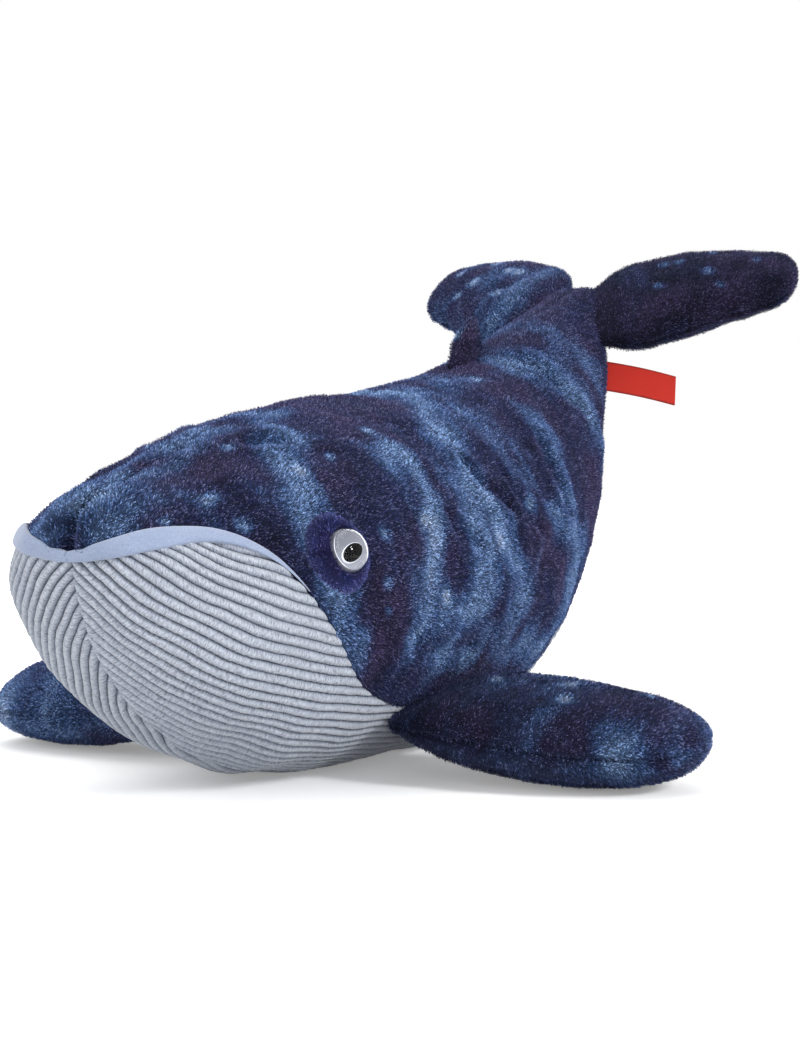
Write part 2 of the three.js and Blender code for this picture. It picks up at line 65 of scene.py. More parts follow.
camera = bpy.data.objects.new("camera", bpy.data.cameras.new("camera"))
bpy.context.scene.collection.objects.link(camera)
camera.location = EYE_POINT
camera.rotation_euler = (math.radians(90), 0, TURN)
camera.data.sensor_width = SENSOR
camera.data.lens = SENSOR * FOCAL / PHOTO[1]
camera.data.shift_y = (HORIZON - PHOTO[1] / 2) / PHOTO[1]
camera.data.clip_start = 0.01
bpy.context.scene.camera = camera

# the body's form

BODY_LENGTH, BODY_HEIGHT, BODY_WIDTH = 0.459, 0.170, 0.164
NOSE = np.array((0, -0.25126, -0.0005))

# Each row: the back line's place and height, the belly line's place and height, half the width, and the
# height of the seam between back and belly cloth, as shares of the body's length, height and width.
BODY_ROWS = [
    (0.000, 0.600, 0.000, 0.590, 0.000, 0.520),
    (0.005, 0.672, 0.004, 0.530, 0.235, 0.600),
    (0.016, 0.705, 0.014, 0.465, 0.375, 0.690),
    (0.038, 0.738, 0.030, 0.380, 0.510, 0.730),
    (0.072, 0.767, 0.055, 0.295, 0.640, 0.735),
    (0.115, 0.808, 0.092, 0.200, 0.765, 0.650),
    (0.170, 0.862, 0.145, 0.115, 0.875, 0.450),
    (0.238, 0.912, 0.213, 0.045, 0.950, 0.285),
    (0.315, 0.952, 0.293, 0.014, 0.990, 0.205),
    (0.393, 0.980, 0.385, 0.002, 1.000, 0.185),
    (0.470, 1.000, 0.490, 0.000, 0.985, 0.185),
    (0.545, 1.027, 0.600, 0.013, 0.935, 0.190),
    (0.615, 1.060, 0.695, 0.100, 0.860, 0.235),
    (0.680, 1.100, 0.780, 0.250, 0.760, 0.275),
    (0.740, 1.150, 0.850, 0.420, 0.650, 0.285),
    (0.800, 1.210, 0.900, 0.630, 0.530, 0.280),
    (0.860, 1.272, 0.935, 0.850, 0.420, 0.275),
    (0.925, 1.340, 0.962, 1.075, 0.330, 0.290),
    (0.980, 1.390, 0.984, 1.240, 0.255, 0.330),
    (0.994, 1.378, 0.996, 1.275, 0.175, 0.400),
    (1.000, 1.335, 1.000, 1.325, 0.000, 0.500),
]
LAST = len(BODY_ROWS) - 1
BACK_SQUARE, BELLY_SQUARE = 1.95, 1.8  # how square the sections are above and below, where 2 is round
SKIN_END = 0.02  # how far the skins stop short of the first and the last station


def along(rows, place):
    """Every column of a table of stations at places between its rows, on a smooth curve."""
    rows, place = np.asarray(rows, float), np.asarray(place, float)
    row = np.clip(np.floor(place).astype(int), 0, len(rows) - 2)
    f = (place - row)[..., None]
    a, b, c, d = (rows[np.clip(row + k, 0, len(rows) - 1)] for k in (-1, 0, 1, 2))
    return b + 0.5 * f * (c - a + f * (2 * a - 5 * b + 4 * c - d + f * (3 * (b - c) + d - a)))


def body_point(station, angle):
    """Points of the body's surface: angle 0 is the back line, half a turn the belly line, left positive."""
    station, angle = np.broadcast_arrays(np.asarray(station, float), np.asarray(angle, float))
    values = along(BODY_ROWS, station)
    upper = np.cos(angle) > 0
    power = 2 / np.where(upper, BACK_SQUARE, BELLY_SQUARE)
    rise = np.abs(np.cos(angle)) ** power
    side = np.sign(np.sin(angle)) * np.abs(np.sin(angle)) ** power
    back_y, back_z, belly_y, belly_z, width = (values[..., k] for k in range(5))
    end_y, end_z = np.where(upper, back_y, belly_y), np.where(upper, back_z, belly_z)
    y = (back_y + belly_y) / 2 * (1 - rise) + end_y * rise
    z = (back_z + belly_z) / 2 * (1 - rise) + end_z * rise
    x = side * width * BODY_WIDTH / 2
    return np.stack([x, y * BODY_LENGTH, z * BODY_HEIGHT], -1) + NOSE


def unit(vectors):
    """The same ways, one metre long."""
    return vectors / np.maximum(np.linalg.norm(vectors, axis=-1, keepdims=True), 1e-12)


def body_out(station, angle):
    """Unit vectors out of the body's surface."""
    step = 0.02
    station = np.clip(station, 2 * step, LAST - 2 * step)
    back = body_point(station + step, angle) - body_point(station - step, angle)
    round_it = body_point(station, angle + step) - body_point(station, angle - step)
    return unit(np.cross(round_it, back))


def angle_at(share):
    """The angle at which a section reaches a share of the way from the belly line to the back line."""
    share = np.asarray(share, float)
    high = np.clip((share - 0.5) / 0.5, 0, 1) ** (BACK_SQUARE / 2)
    low = np.clip((0.5 - share) / 0.5, 0, 1) ** (BELLY_SQUARE / 2)
    return np.where(share > 0.5, np.arccos(high), np.pi - np.arccos(low))


def seam_angle(station):
    """The angle of the seam between back and belly cloth."""
    return angle_at(along(BODY_ROWS, station)[..., 5])


def seam_point(station):
    """The seam's place at a station."""
    return body_point(station, seam_angle(np.array(station)))


fine = np.linspace(0, LAST, 2001)
fine_rows = along(BODY_ROWS, fine)


def station_at(share):
    """The station whose section has its middle a share of the body's length behind the nose."""
    return float(np.interp(share, (fine_rows[:, 0] + fine_rows[:, 2]) / 2, fine))


def even_stations(angle, count):
    """Stations that lie evenly along the body's line at an angle."""
    s = np.linspace(SKIN_END, LAST - SKIN_END, 2001)
    line = body_point(s, angle)
    run = np.concatenate([[0], np.cumsum(np.linalg.norm(np.diff(line, axis=0), axis=1))])
    return np.interp(np.linspace(0, run[-1], count), run, s)


def run_of(points, axis):
    """Lengths along a grid of points, from its first row or column."""
    steps = np.linalg.norm(np.diff(points, axis=axis), axis=-1)
    first = np.zeros_like(np.take(steps, [0], axis))
    return np.concatenate([first, np.cumsum(steps, axis)], axis)


# making pieces


def ripple(points, size, seed, count=28):
    """Smooth random waves through space, each about a size across, mostly between -1 and 1."""
    rng = np.random.default_rng(seed)
    total = np.zeros(points.shape[:-1])
    for _ in range(count):
        way = rng.normal(size=3)
        way *= 2 * np.pi / (size * rng.uniform(0.75, 1.6)) / np.linalg.norm(way)
        total += np.sin(points @ way + rng.uniform(0, 2 * np.pi))
    return total / math.sqrt(count)


def from_line(points, line):
    """How far points lie from a broken line."""
    best = np.full(points.shape[:-1], 1.0)
    for a, b in zip(line[:-1], line[1:]):
        a, run = np.asarray(a, float), np.asarray(b, float) - np.asarray(a, float)
        f = np.clip((points - a) @ run / (run @ run), 0, 1)
        best = np.minimum(best, np.linalg.norm(points - a - f[..., None] * run, axis=-1))
    return best


def values_of(data, key, width):
    """A mesh's values as rows of numbers."""
    values = np.empty(len(data) * width, np.float32)
    data.foreach_get(key, values)
    return values.reshape(-1, width)


def piece_from(name, vertices, faces, corners_uv, attributes):
    """A smooth piece from its faces, its places on the cloth and its values at each vertex."""
    mesh = bpy.data.meshes.new(name)
    mesh.from_pydata(vertices.tolist(), [], faces)
    mesh.shade_smooth()
    mesh.uv_layers.new(name="cloth").data.foreach_set("uv", corners_uv.astype(np.float32).ravel())
    for key, values in attributes.items():
        layer = mesh.attributes.new(key, "FLOAT", "POINT")
        layer.data.foreach_set("value", values.astype(np.float32).ravel())
    piece = bpy.data.objects.new(name, mesh)
    bpy.context.scene.collection.objects.link(piece)
    return piece


def grid_piece(name, points, uv, closed=False, poles=(False, False), **attributes):
    """A skin through rows of points.

    A closed one joins its last column to its first, and its uv has one column more.
    """
    rows, columns = points.shape[:2]
    r, c = np.meshgrid(np.arange(rows - 1), np.arange(columns if closed else columns - 1), indexing="ij")
    after = (c + 1) % columns
    near, far = r * columns, (r + 1) * columns
    faces = np.stack([near + c, near + after, far + after, far + c], -1)
    corner = np.stack([uv[r, c], uv[r, c + 1], uv[r + 1, c + 1], uv[r + 1, c]], 2).reshape(-1, 2)
    faces, vertices = faces.reshape(-1, 4).tolist(), points.reshape(-1, 3)
    values = {key: value.ravel() for key, value in attributes.items()}
    for row, wanted in ((0, poles[0]), (rows - 1, poles[1])):
        if not wanted:
            continue
        hub = len(vertices)
        vertices = np.vstack([vertices, points[row].mean(0)])
        values = {key: np.append(value, attributes[key][row].mean()) for key, value in values.items()}
        ring = [row * columns + k for k in range(columns)]
        for k in range(columns):
            a, b = ring[k], ring[(k + 1) % columns]
            faces.append([hub, b, a] if row == 0 else [hub, a, b])
            ends = [uv[row, k + 1], uv[row, k]] if row == 0 else [uv[row, k], uv[row, k + 1]]
            corner = np.vstack([corner, (ends[0] + ends[1]) / 2, *ends])
    return piece_from(name, vertices, faces, corner, values)


def mirrored(piece, name):
    """The same piece on the right side."""
    mesh = piece.data.copy()
    mesh.name = name
    shown = None
    if mesh.has_custom_normals:
        # a pile's blades have one normal for all three corners
        shown = values_of(mesh.corner_normals, "vector", 3)[::3] * (-1, 1, 1)
    mesh.transform(Matrix.Scale(-1, 4, (1, 0, 0)))
    mesh.flip_normals()
    if shown is not None:
        mesh.normals_split_custom_set_from_vertices(np.repeat(shown, 3, 0).tolist())
    twin = bpy.data.objects.new(name, mesh)
    bpy.context.scene.collection.objects.link(twin)
    return twin


def turned(name, profile, place, steps=64):
    """A piece turned about its own +Z from (radius, height) points."""
    mesh = bpy.data.meshes.new(name)
    count = len(profile)
    mesh.from_pydata([(x, 0, z) for x, z in profile], [(k, k + 1) for k in range(count - 1)], [])
    piece = bpy.data.objects.new(name, mesh)
    bpy.context.scene.collection.objects.link(piece)
    bpy.context.view_layer.objects.active = piece
    piece.select_set(True)
    bpy.ops.object.mode_set(mode="EDIT")
    bpy.ops.mesh.select_all(action="SELECT")
    bpy.ops.mesh.spin(steps=steps, angle=2 * math.pi, center=(0, 0, 0), axis=(0, 0, 1))
    bpy.ops.mesh.select_all(action="SELECT")
    bpy.ops.mesh.remove_doubles(threshold=1e-6)
    bpy.ops.mesh.normals_make_consistent(inside=False)
    bpy.ops.object.mode_set(mode="OBJECT")
    bpy.ops.object.shade_smooth_by_angle(angle=math.radians(35))
    piece.select_set(False)
    spots = values_of(mesh.vertices, "co", 3)
    for key, values in (("radius", np.hypot(spots[:, 0], spots[:, 1])), ("up", spots[:, 1])):
        mesh.attributes.new(key, "FLOAT", "POINT").data.foreach_set("value", values.astype(np.float32))
    mesh.transform(place)
    return piece


# places

# The body's bare form, to find places on it by a pixel of the photograph or by a ray
BARE_ROWS, BARE_ROUND = 240, 96
ring = np.linspace(0, 2 * np.pi, BARE_ROUND + 1)[:-1]
bare = body_point(np.linspace(0.05, LAST - 0.05, BARE_ROWS)[:, None], ring[None, :])
bare_faces = [
    (near + c, near + (c + 1) % BARE_ROUND, near + BARE_ROUND + (c + 1) % BARE_ROUND, near + BARE_ROUND + c)
    for near in range(0, (BARE_ROWS - 1) * BARE_ROUND, BARE_ROUND)
    for c in range(BARE_ROUND)
]
bare_tree = BVHTree.FromPolygons([tuple(p) for p in bare.reshape(-1, 3)], bare_faces)


def seen(x, y):
    """The place on the body behind a pixel of the photograph."""
    right = Vector((math.cos(TURN), math.sin(TURN), 0))
    ahead = Vector((-math.sin(TURN), math.cos(TURN), 0))
    way = ahead + right * ((x - PHOTO[0] / 2) / FOCAL) + Vector((0, 0, (HORIZON - y) / FOCAL))
    hit = bare_tree.ray_cast(EYE_POINT, way.normalized())[0]
    return None if hit is None else np.array(hit)


def traced(rows):
    """Lines on the body, each behind a row's pixels, with the row's two measures."""
    lines = []
    for pixels, width, strength in rows:
        found = [seen(x, y) for x, y in pixels]
        found = [place for place in found if place is not None]
        if len(found) > 1:
            lines.append((found, width, strength))
    return lines


def axes(origin, x, y):
    """A place with its own axes: +X along x, and +Y near y."""
    x, y = Vector(x).normalized(), Vector(y)
    y = (y - x * y.dot(x)).normalized()
    z = x.cross(y)
    return Matrix([[x[k], y[k], z[k], origin[k]] for k in range(3)] + [[0, 0, 0, 1]])


def limb_place(back, up, root, rise, droop):
    """A limb's own axes at its root: +X to the tip, +Y to the trailing edge."""
    station, angle = station_at(back), float(angle_at(up))
    out = Vector(body_out(station, angle))
    trail = Vector((0, math.cos(rise), math.sin(rise)))
    trail.x = -out.dot(trail) / out.x
    trail.normalize()
    level = (Vector((1, 0, 0)) - trail * trail.x).normalized()
    tip = Matrix.Rotation(droop, 3, trail) @ level
    return axes(Vector(body_point(station, angle)) + out * (root + 0.0004), tip, trail)


flipper_place = limb_place(back=0.385, up=0.19, root=0.004, rise=math.radians(6), droop=math.radians(5.5))
fluke_place = limb_place(back=0.972, up=0.52, root=0.0035, rise=math.radians(40), droop=math.radians(10))
fin_station = station_at(0.745)
fin_out = Vector(body_out(fin_station, 0.0))
fin_back = Vector(body_point(fin_station + 0.02, 0.0) - body_point(fin_station - 0.02, 0.0))
fin_place = axes(Vector(body_point(fin_station, 0.0)) + fin_out * 0.002, fin_out, fin_back)
tag_station = station_at(0.927)
tag_angle = float(seam_angle(np.array(tag_station)))
tag_run = Vector(seam_point(tag_station + 0.05) - seam_point(tag_station - 0.05)).normalized()
tag_out = Vector(body_out(tag_station, tag_angle))
tag_out = (tag_out - tag_run * tag_out.dot(tag_run)).normalized()
tag_place = axes(Vector(body_point(tag_station, tag_angle)) + tag_out * 0.001, tag_out, tag_run)
eye_station, eye_angle = station_at(0.184), float(angle_at(0.645))
eye_out = Vector(body_out(eye_station, eye_angle))
eye_up = (Vector((0, 0, 1)) - eye_out * eye_out.z).normalized()
eye_place = axes(Vector(body_point(eye_station, eye_angle)), eye_up.cross(eye_out), eye_up)

# the print, its painted shade and highlights, and the folds of the back cloth

# Pale bands and blooms of the print, then painted shade: pixels of the photograph that they run through,
# half width in metres, and strength
BANDS = [
    (((95, 488), (108, 510), (105, 535)), 0.016, 1.0),
    (((120, 480), (160, 470), (196, 438), (215, 430)), 0.009, 0.75),
    (((262, 408), (285, 440), (293, 470), (298, 505), (312, 530)), 0.011, 0.75),
    (((372, 392), (410, 394), (440, 430), (457, 460), (463, 487), (477, 513)), 0.014, 0.9),
    (((390, 450), (413, 467), (430, 493), (436, 553), (435, 577), (425, 603), (408, 640)), 0.011, 0.95),
    (((338, 590), (348, 615), (348, 655)), 0.012, 1.0),
    (((517, 403), (537, 427), (550, 447), (563, 480), (570, 507)), 0.010, 0.75),
    (((560, 515), (580, 550), (580, 587), (558, 620)), 0.014, 0.8),
    (((480, 507), (507, 533), (517, 560), (523, 593), (508, 633)), 0.012, 0.9),
    (((440, 622), (478, 612), (490, 573), (488, 545)), 0.011, 0.75),
    (((510, 362), (552, 372), (585, 401), (598, 430)), 0.015, 0.7),
    (((480, 420), (500, 440), (520, 470)), 0.016, 0.4),
    (((540, 330), (560, 345), (590, 370)), 0.018, 0.55),
    (((440, 655), (490, 645), (540, 645)), 0.011, 0.7),
    (((450, 385), (480, 372), (520, 362)), 0.012, 0.5),
]
# painted shade: dark lines where shade falls on the body, taken off the print's paleness
PAINTED_SHADE = [
    (((470, 690), (500, 680), (540, 672)), 0.012, 0.3),
    (((378, 590), (380, 620), (385, 655)), 0.014, 0.5),
]

# Pale spots of the print, and two painted highlights on folds: a pixel of the photograph, and width in
# metres
SPOTS_AND_HIGHLIGHTS = [
    (228, 447, 0.0032),
    (205, 500, 0.003),
    (165, 520, 0.0025),
    (245, 525, 0.0035),
    (213, 497, 0.0025),
    (367, 430, 0.003),
    (385, 532, 0.003),
    (389, 583, 0.0035),
    (448, 597, 0.003),
    (389, 611, 0.003),
    (475, 378, 0.003),
    # the next two are painted highlights on the banks of folds, not print
    (530, 503, 0.003),
    (562, 495, 0.0035),
    (172, 432, 0.003),
    (330, 455, 0.0025),
    (300, 470, 0.0025),
    (500, 540, 0.003),
    (425, 520, 0.003),
]
# Folds and creases: pixels that they run through, half width and depth in metres
FOLDS = [
    (((248, 441), (262, 437), (276, 438)), 0.004, 0.0035),
    (((519, 358), (545, 372), (572, 398), (597, 430)), 0.005, 0.004),
    (((466, 462), (484, 482), (505, 500), (530, 525)), 0.004, 0.0026),
    (((452, 512), (466, 530), (478, 548)), 0.004, 0.0018),
    (((505, 475), (522, 498), (540, 530)), 0.004, 0.0022),
    (((540, 440), (556, 470), (566, 505)), 0.0045, 0.0022),
    (((110, 495), (98, 510), (88, 530)), 0.004, 0.0016),
    (((140, 466), (160, 456), (184, 446)), 0.004, 0.0018),
    (((560, 540), (540, 575), (515, 600)), 0.006, 0.002),
    (((410, 640), (440, 652), (470, 650)), 0.004, 0.002),
]

bands, painted_shade, folds = traced(BANDS), traced(PAINTED_SHADE), traced(FOLDS)
spots = [(seen(x, y), size) for x, y, size in SPOTS_AND_HIGHLIGHTS]
spots = [(place, size) for place, size in spots if place is not None]


def left_of(points):
    """The same points on the left side, so that both sides get the same print and folds."""
    return np.abs(points * (1, 0, 0)) + points * (0, 1, 1)


PRINT_STRAY, STRAY_SIZE = 0.004, 0.03  # how far the print's edges wander, and over what length
PRINT_TOP = 0.95  # the palest that a band gets


def print_and_shade_of(points):
    """How pale the print is at points of the body, less the painted shade, and its spots, two of them
    painted highlights.
    """
    here = left_of(points)
    wander = here + PRINT_STRAY * np.stack([ripple(here, STRAY_SIZE, seed) for seed in (1, 2, 3)], -1)
    total = np.zeros(points.shape[:-1])
    for line, width, strength in bands:
        total = np.maximum(total, strength * np.exp(-((from_line(wander, line) / width) ** 2)))
    total = np.minimum(PRINT_TOP, total * (1 + 0.16 * ripple(here, 0.022, 7)))
    # painted shade, taken off the print
    for line, width, strength in painted_shade:
        total -= strength * np.exp(-((from_line(wander, line) / width) ** 2))
    marks = np.zeros_like(total)
    for place, size in spots:
        marks = np.maximum(marks, np.exp(-(np.linalg.norm(here - place, axis=-1) / size) ** 2))
    return total, marks


FOLD_STRAY, FOLD_SIZE = 0.0015, 0.02  # how far folds wander, and over what length
FOLD_BANK, BANK_AWAY = 0.4, 1.9  # the bank beside a fold: its height and distance in shares of the fold


def folds_of(points):
    """How far the folds raise or sink the back cloth."""
    here = left_of(points)
    here = here + FOLD_STRAY * np.stack([ripple(here, FOLD_SIZE, seed) for seed in (4, 5, 6)], -1)
    total = np.zeros(points.shape[:-1])
    for line, width, depth in folds:
        away = from_line(here, line) / width
        total -= depth * (np.exp(-(away**2)) - FOLD_BANK * np.exp(-((away - BANK_AWAY) ** 2)))
    return total


# the body's skins

EYE_OFF_CENTRE = 0.004  # how far behind the patch's centre the eye sits
PATCH_CENTRE = eye_place @ Vector((-EYE_OFF_CENTRE, 0, 0))
PATCH_RADIUS = 0.0165


def edge_tuck(distance, reach, depth):
    """How far a skin dives under its neighbour at a seam, at a distance from the seam."""
    return -depth * np.clip(1 - distance / reach, 0, 1) ** 2


PLUSH_LAP = 0.014  # how far the plush laps over the corduroy, as an angle
PILE_SINK = 0.0010  # how far a plush skin lies under the ends of its pile
BACK_LINE, BELLY_LINE = 0.6, 2.2  # the angles of the lines along which the skins' rows are even
SEAM_HALF, SEAM_DEPTH = 0.0026, 0.0012
SNOUT_REACH, SNOUT_DEPTH = 0.05, 0.0034  # the middle seam is deeper than elsewhere at the snout
PUFF_AWAY, PUFF_HALF, PUFF_RISE = 0.009, 0.007, 0.0026  # the snout swells on both sides of its seam
DISH_DEPTH, DISH_EDGE = 0.0032, 0.0025


def back_skin(rows, columns):
    """The printed back cloth, from seam to seam, with its folds and the dish under the eye patch."""
    stations = even_stations(BACK_LINE, rows)[:, None]
    reach = seam_angle(stations)
    angles = (reach + PLUSH_LAP) * np.linspace(-1, 1, columns)[None, :]
    points = body_point(stations, angles)
    out = body_out(stations, angles)
    girth = run_of(points, 1)
    girth = girth - girth[:, [columns // 2]]
    to_edge = np.abs(girth[:, [-1]]) - np.abs(girth)
    length = run_of(points, 0)[:, [columns // 4]] + 0 * girth
    rise = folds_of(points)
    # the seam down the middle
    snout = np.exp(-((points[..., 1] - NOSE[1]) / SNOUT_REACH) ** 2)
    rise -= (SEAM_DEPTH + SNOUT_DEPTH * snout) * np.exp(-((girth / SEAM_HALF) ** 2))
    rise += PUFF_RISE * snout * np.exp(-(((np.abs(girth) - PUFF_AWAY) / PUFF_HALF) ** 2))
    rise += edge_tuck(to_edge, 0.003, 0.0006) + edge_tuck(to_edge, 0.001, 0.002)
    # a dish under the eye patch
    away = np.linalg.norm(left_of(points) - np.array(PATCH_CENTRE), axis=-1)
    rise -= DISH_DEPTH * np.clip((PATCH_RADIUS + 0.0006 - away) / DISH_EDGE, 0, 1)
    rise += 0.0006 * ripple(left_of(points), 0.035, 11) + 0.0002 * ripple(left_of(points), 0.012, 12)
    # the print less its painted shade, and its spots with two painted highlights
    pale, marks = print_and_shade_of(points)
    points = points + out * (rise - PILE_SINK)[..., None]
    uv = np.stack([length, girth], -1)
    # painted shade along the middle seam's groove, deeper at the snout
    seam = (0.35 + 0.9 * snout) * np.exp(-((girth / 0.0022) ** 2))
    return grid_piece("back_plush", points, uv, bands=pale, spots=marks, seam=seam)


THROAT_SHIFT, THROAT_STATION, THROAT_REACH = 0.16, 8.5, 3.2


def throat_shift(station):
    """How far the throat's middle seam wanders to the left, as an angle."""
    return THROAT_SHIFT * np.exp(-(((station - THROAT_STATION) / THROAT_REACH) ** 2))


FLOOR_GAP = 0.0004  # how far the corduroy stays above the floor
RIB_FALL, RIB_FALL_REACH = 0.05, 0.16  # the ribs run down towards the tail: how far, and over what length
RIB_PITCH = 0.0046
RIB_DEPTH = 0.0019
LIP_HEIGHT = 0.0086
LIP_PROUD, LIP_BACK = 0.0021, 0.003  # how far the lip stands out of the body, and how far it goes in
LIP_FULL = 0.006  # where the lip is lower than this it is also thinner
LIP_END = 0.136  # where the mouth's corners lie, as a share of the body's length
# The lip's height at even steps from the middle of the mouth to a corner
LIP_ROWS = [(0.5,), (0.85,), (1.0,), (1.0,), (0.75,), (0.42,), (0.03,)]


def belly_skin(side, rows, columns):
    """Half of the corduroy, with its ribs, from the throat's middle seam to the back cloth."""
    stations = even_stations(BELLY_LINE, rows)[:, None]
    middle = np.pi - throat_shift(stations)
    share = np.linspace(0, 1, columns)[None, :]
    if side > 0:
        angles = middle + (seam_angle(stations) - middle) * share
    else:
        angles = middle + (2 * np.pi - seam_angle(stations) - middle) * share
    points = body_point(stations, angles)
    out = body_out(stations, angles)
    girth = run_of(points, 1)
    length = run_of(points, 0)[:, [columns // 3]] + 0 * girth
    to_edge = girth[:, [-1]] - girth
    centre = body_point(stations, middle)
    back = points[..., 1] - NOSE[1]
    fall = RIB_FALL * (1 - np.exp(-back / RIB_FALL_REACH))
    ribs = (centre[..., 2] + girth + fall) / RIB_PITCH
    ribs = ribs + 0.10 * ripple(points, 0.04, 21) + 0.03 * ripple(points, 0.009, 22)
    crest = 1 - np.abs(2 * (ribs % 1) - 1) ** 3
    rise = edge_tuck(to_edge, 0.002, 0.0006) + edge_tuck(to_edge, 0.0006, 0.002)
    rise = rise + edge_tuck(girth, 0.003, 0.0018)
    rise += 0.0006 * ripple(points, 0.035, 11)
    rise = rise + RIB_DEPTH * (crest - 1) + 0.00012 * ripple(points, 0.003, 23)
    points = points + out * rise[..., None]
    points[..., 2] = np.maximum(points[..., 2], FLOOR_GAP)
    name = "belly_cord_left" if side > 0 else "belly_cord_right"
    uv = np.stack([length, girth], -1)
    if side < 0:
        points, uv, ribs = points[:, ::-1], uv[:, ::-1], ribs[:, ::-1]
    return grid_piece(name, points[:, ::-1], uv[:, ::-1], ribs=ribs[:, ::-1])


def lip_band():
    """The rolled velour band along the mouth, from corner to corner."""
    count, points_round = 110, 29
    place = np.linspace(0, 1, count) ** 1.25
    station = np.maximum(0.05, station_at(LIP_END) * place)
    angle = seam_angle(station)
    middle, out = body_point(station, angle), body_out(station, angle)
    height = LIP_HEIGHT * along(LIP_ROWS, place * (len(LIP_ROWS) - 1))[:, 0]
    middle, out = (np.concatenate([v[1:][::-1] * (-1, 1, 1), v]) for v in (middle, out))
    height = np.concatenate([height[1:][::-1], height])
    out[count - 1] = unit(out[count - 1] * (0, 1, 1))
    across = unit(np.cross(out, unit(np.gradient(middle, axis=0))))
    turn = np.linspace(0, 2 * np.pi, points_round)[:-1]
    proud = np.where(np.sin(turn) > 0, LIP_PROUD * np.abs(np.sin(turn)) ** 0.6, LIP_BACK * np.sin(turn))
    slim = np.minimum(1, height / LIP_FULL)[:, None]
    points = middle[:, None] + across[:, None] * (height[:, None] / 2 * np.cos(turn))[..., None]
    points = points + out[:, None] * (proud * slim)[..., None]
    run = run_of(points, 0)[:, [0]] + 0 * turn[:1]
    wave = 0.0002 * ripple(points, 0.018, 31) * np.sin(turn)
    points = points + out[:, None] * wave[..., None]
    round_it = np.linspace(0, 0.02, points_round)[None, :]
    uv = np.stack([run + 0 * round_it, round_it + 0 * run], -1)
    return grid_piece("lip_velour", points[:, ::-1], uv[:, ::-1], closed=True, poles=(True, True))


back_plush = back_skin(rows=372, columns=269)
cord_left = belly_skin(1, rows=520, columns=150)
cord_right = belly_skin(-1, rows=520, columns=150)
lip_velour = lip_band()

# eye patches

RAY_START = 0.03  # how far outside the head the patch is looked for from
PATCH_EDGE, PATCH_DIVE = 0.0035, 0.0022  # its edge turns down: over what width, and how far
PATCH_DOME, PATCH_PROUD = 0.0012, 0.0008
DART_DEPTH, DART_HALF = 0.0022, 0.0014
SOCKET_RADIUS, SOCKET_EDGE, SOCKET_DEPTH = 0.0104, 0.0014, 0.003


def eye_patch():
    """A round patch sewn about the eye, with a small dart towards the mouth."""
    rings, spokes = 40, 120
    radius = PATCH_RADIUS * np.linspace(0.02, 1, rings)[:, None]
    turn = np.linspace(0, 2 * np.pi, spokes + 1)[None, :-1]
    x, y = radius * np.cos(turn), radius * np.sin(turn)
    points = np.zeros((rings, spokes, 3))
    axis = -(eye_place.to_3x3() @ Vector((0, 0, 1)))
    for r in range(rings):
        for c in range(spokes):
            start = PATCH_CENTRE + eye_place.to_3x3() @ Vector((x[r, c], y[r, c], RAY_START))
            hit = bare_tree.ray_cast(start, axis)[0]
            points[r, c] = hit if hit is not None else start + axis * RAY_START
    out = np.array(-axis)
    rim = np.clip((radius - (PATCH_RADIUS - PATCH_EDGE)) / PATCH_EDGE, 0, 1)
    dome = PATCH_DOME * (1 - (radius / PATCH_RADIUS) ** 2) + PATCH_PROUD
    dart = DART_DEPTH * np.exp(-((y + 0.001) / DART_HALF) ** 2) * np.clip((-x - 0.0065) / 0.003, 0, 1)
    from_eye = np.hypot(x - EYE_OFF_CENTRE, y)
    socket = np.clip((SOCKET_RADIUS - from_eye) / SOCKET_EDGE, 0, 1)
    rise = dome * (1 - socket) - SOCKET_DEPTH * socket - PATCH_DIVE * rim**3 - dart * (1 - socket)
    points = points + out * rise[..., None]
    turn_edge = np.linspace(0, 2 * np.pi, spokes + 1)[None, :]
    uv = np.stack([radius * np.cos(turn_edge), radius * np.sin(turn_edge)], -1)
    rim_values = np.clip((radius - 0.011) / 0.0055, 0, 1) + 0 * x
    points, uv = points[:, ::-1], uv[:, ::-1]
    return grid_piece("eye_patch_left_plush", points, uv, closed=True, poles=(True, False), rim=rim_values)


patch_left = eye_patch()
patch_right = mirrored(patch_left, "eye_patch_right_plush")

# eyes

# The dome is solid to its back, where the disc and the pupil are painted on. Each outline gives radius and
# height from the middle of the eye.
EYE_RADIUS, EYE_TOP, EYE_SEAT = 0.009, 0.0072, -0.0016
ARC_RADIUS, ARC_START = EYE_RADIUS - 0.0005, 0.0018
DOME = [
    (0, EYE_SEAT),
    (EYE_RADIUS - 0.0003, EYE_SEAT),
    (EYE_RADIUS, EYE_SEAT + 0.0003),
    (EYE_RADIUS, 0.001),
    (EYE_RADIUS - 0.0001, 0.0014),
    (ARC_RADIUS, ARC_START),
]
for turn in np.linspace(0, math.pi / 2, 24)[1:-1]:
    DOME.append((ARC_RADIUS * math.cos(turn), ARC_START + (EYE_TOP - ARC_START) * math.sin(turn)))
DOME.append((0, EYE_TOP))
DISC = [
    (0, 0.0004),
    (0.0073, 0.0004),
    (0.0076, 0.0009),
    (0.0081, 0.0010),
    (0.0083, 0.0004),
    (0.0083, -0.0010),
    (0, -0.0010),
]
PUPIL = [
    (0, 0.0011),
    (0.0038, 0.0011),
    (0.0040, 0.0010),
    (0.0044, 0.0004),
    (0.0044, 0.0002),
    (0, 0.0002),
]
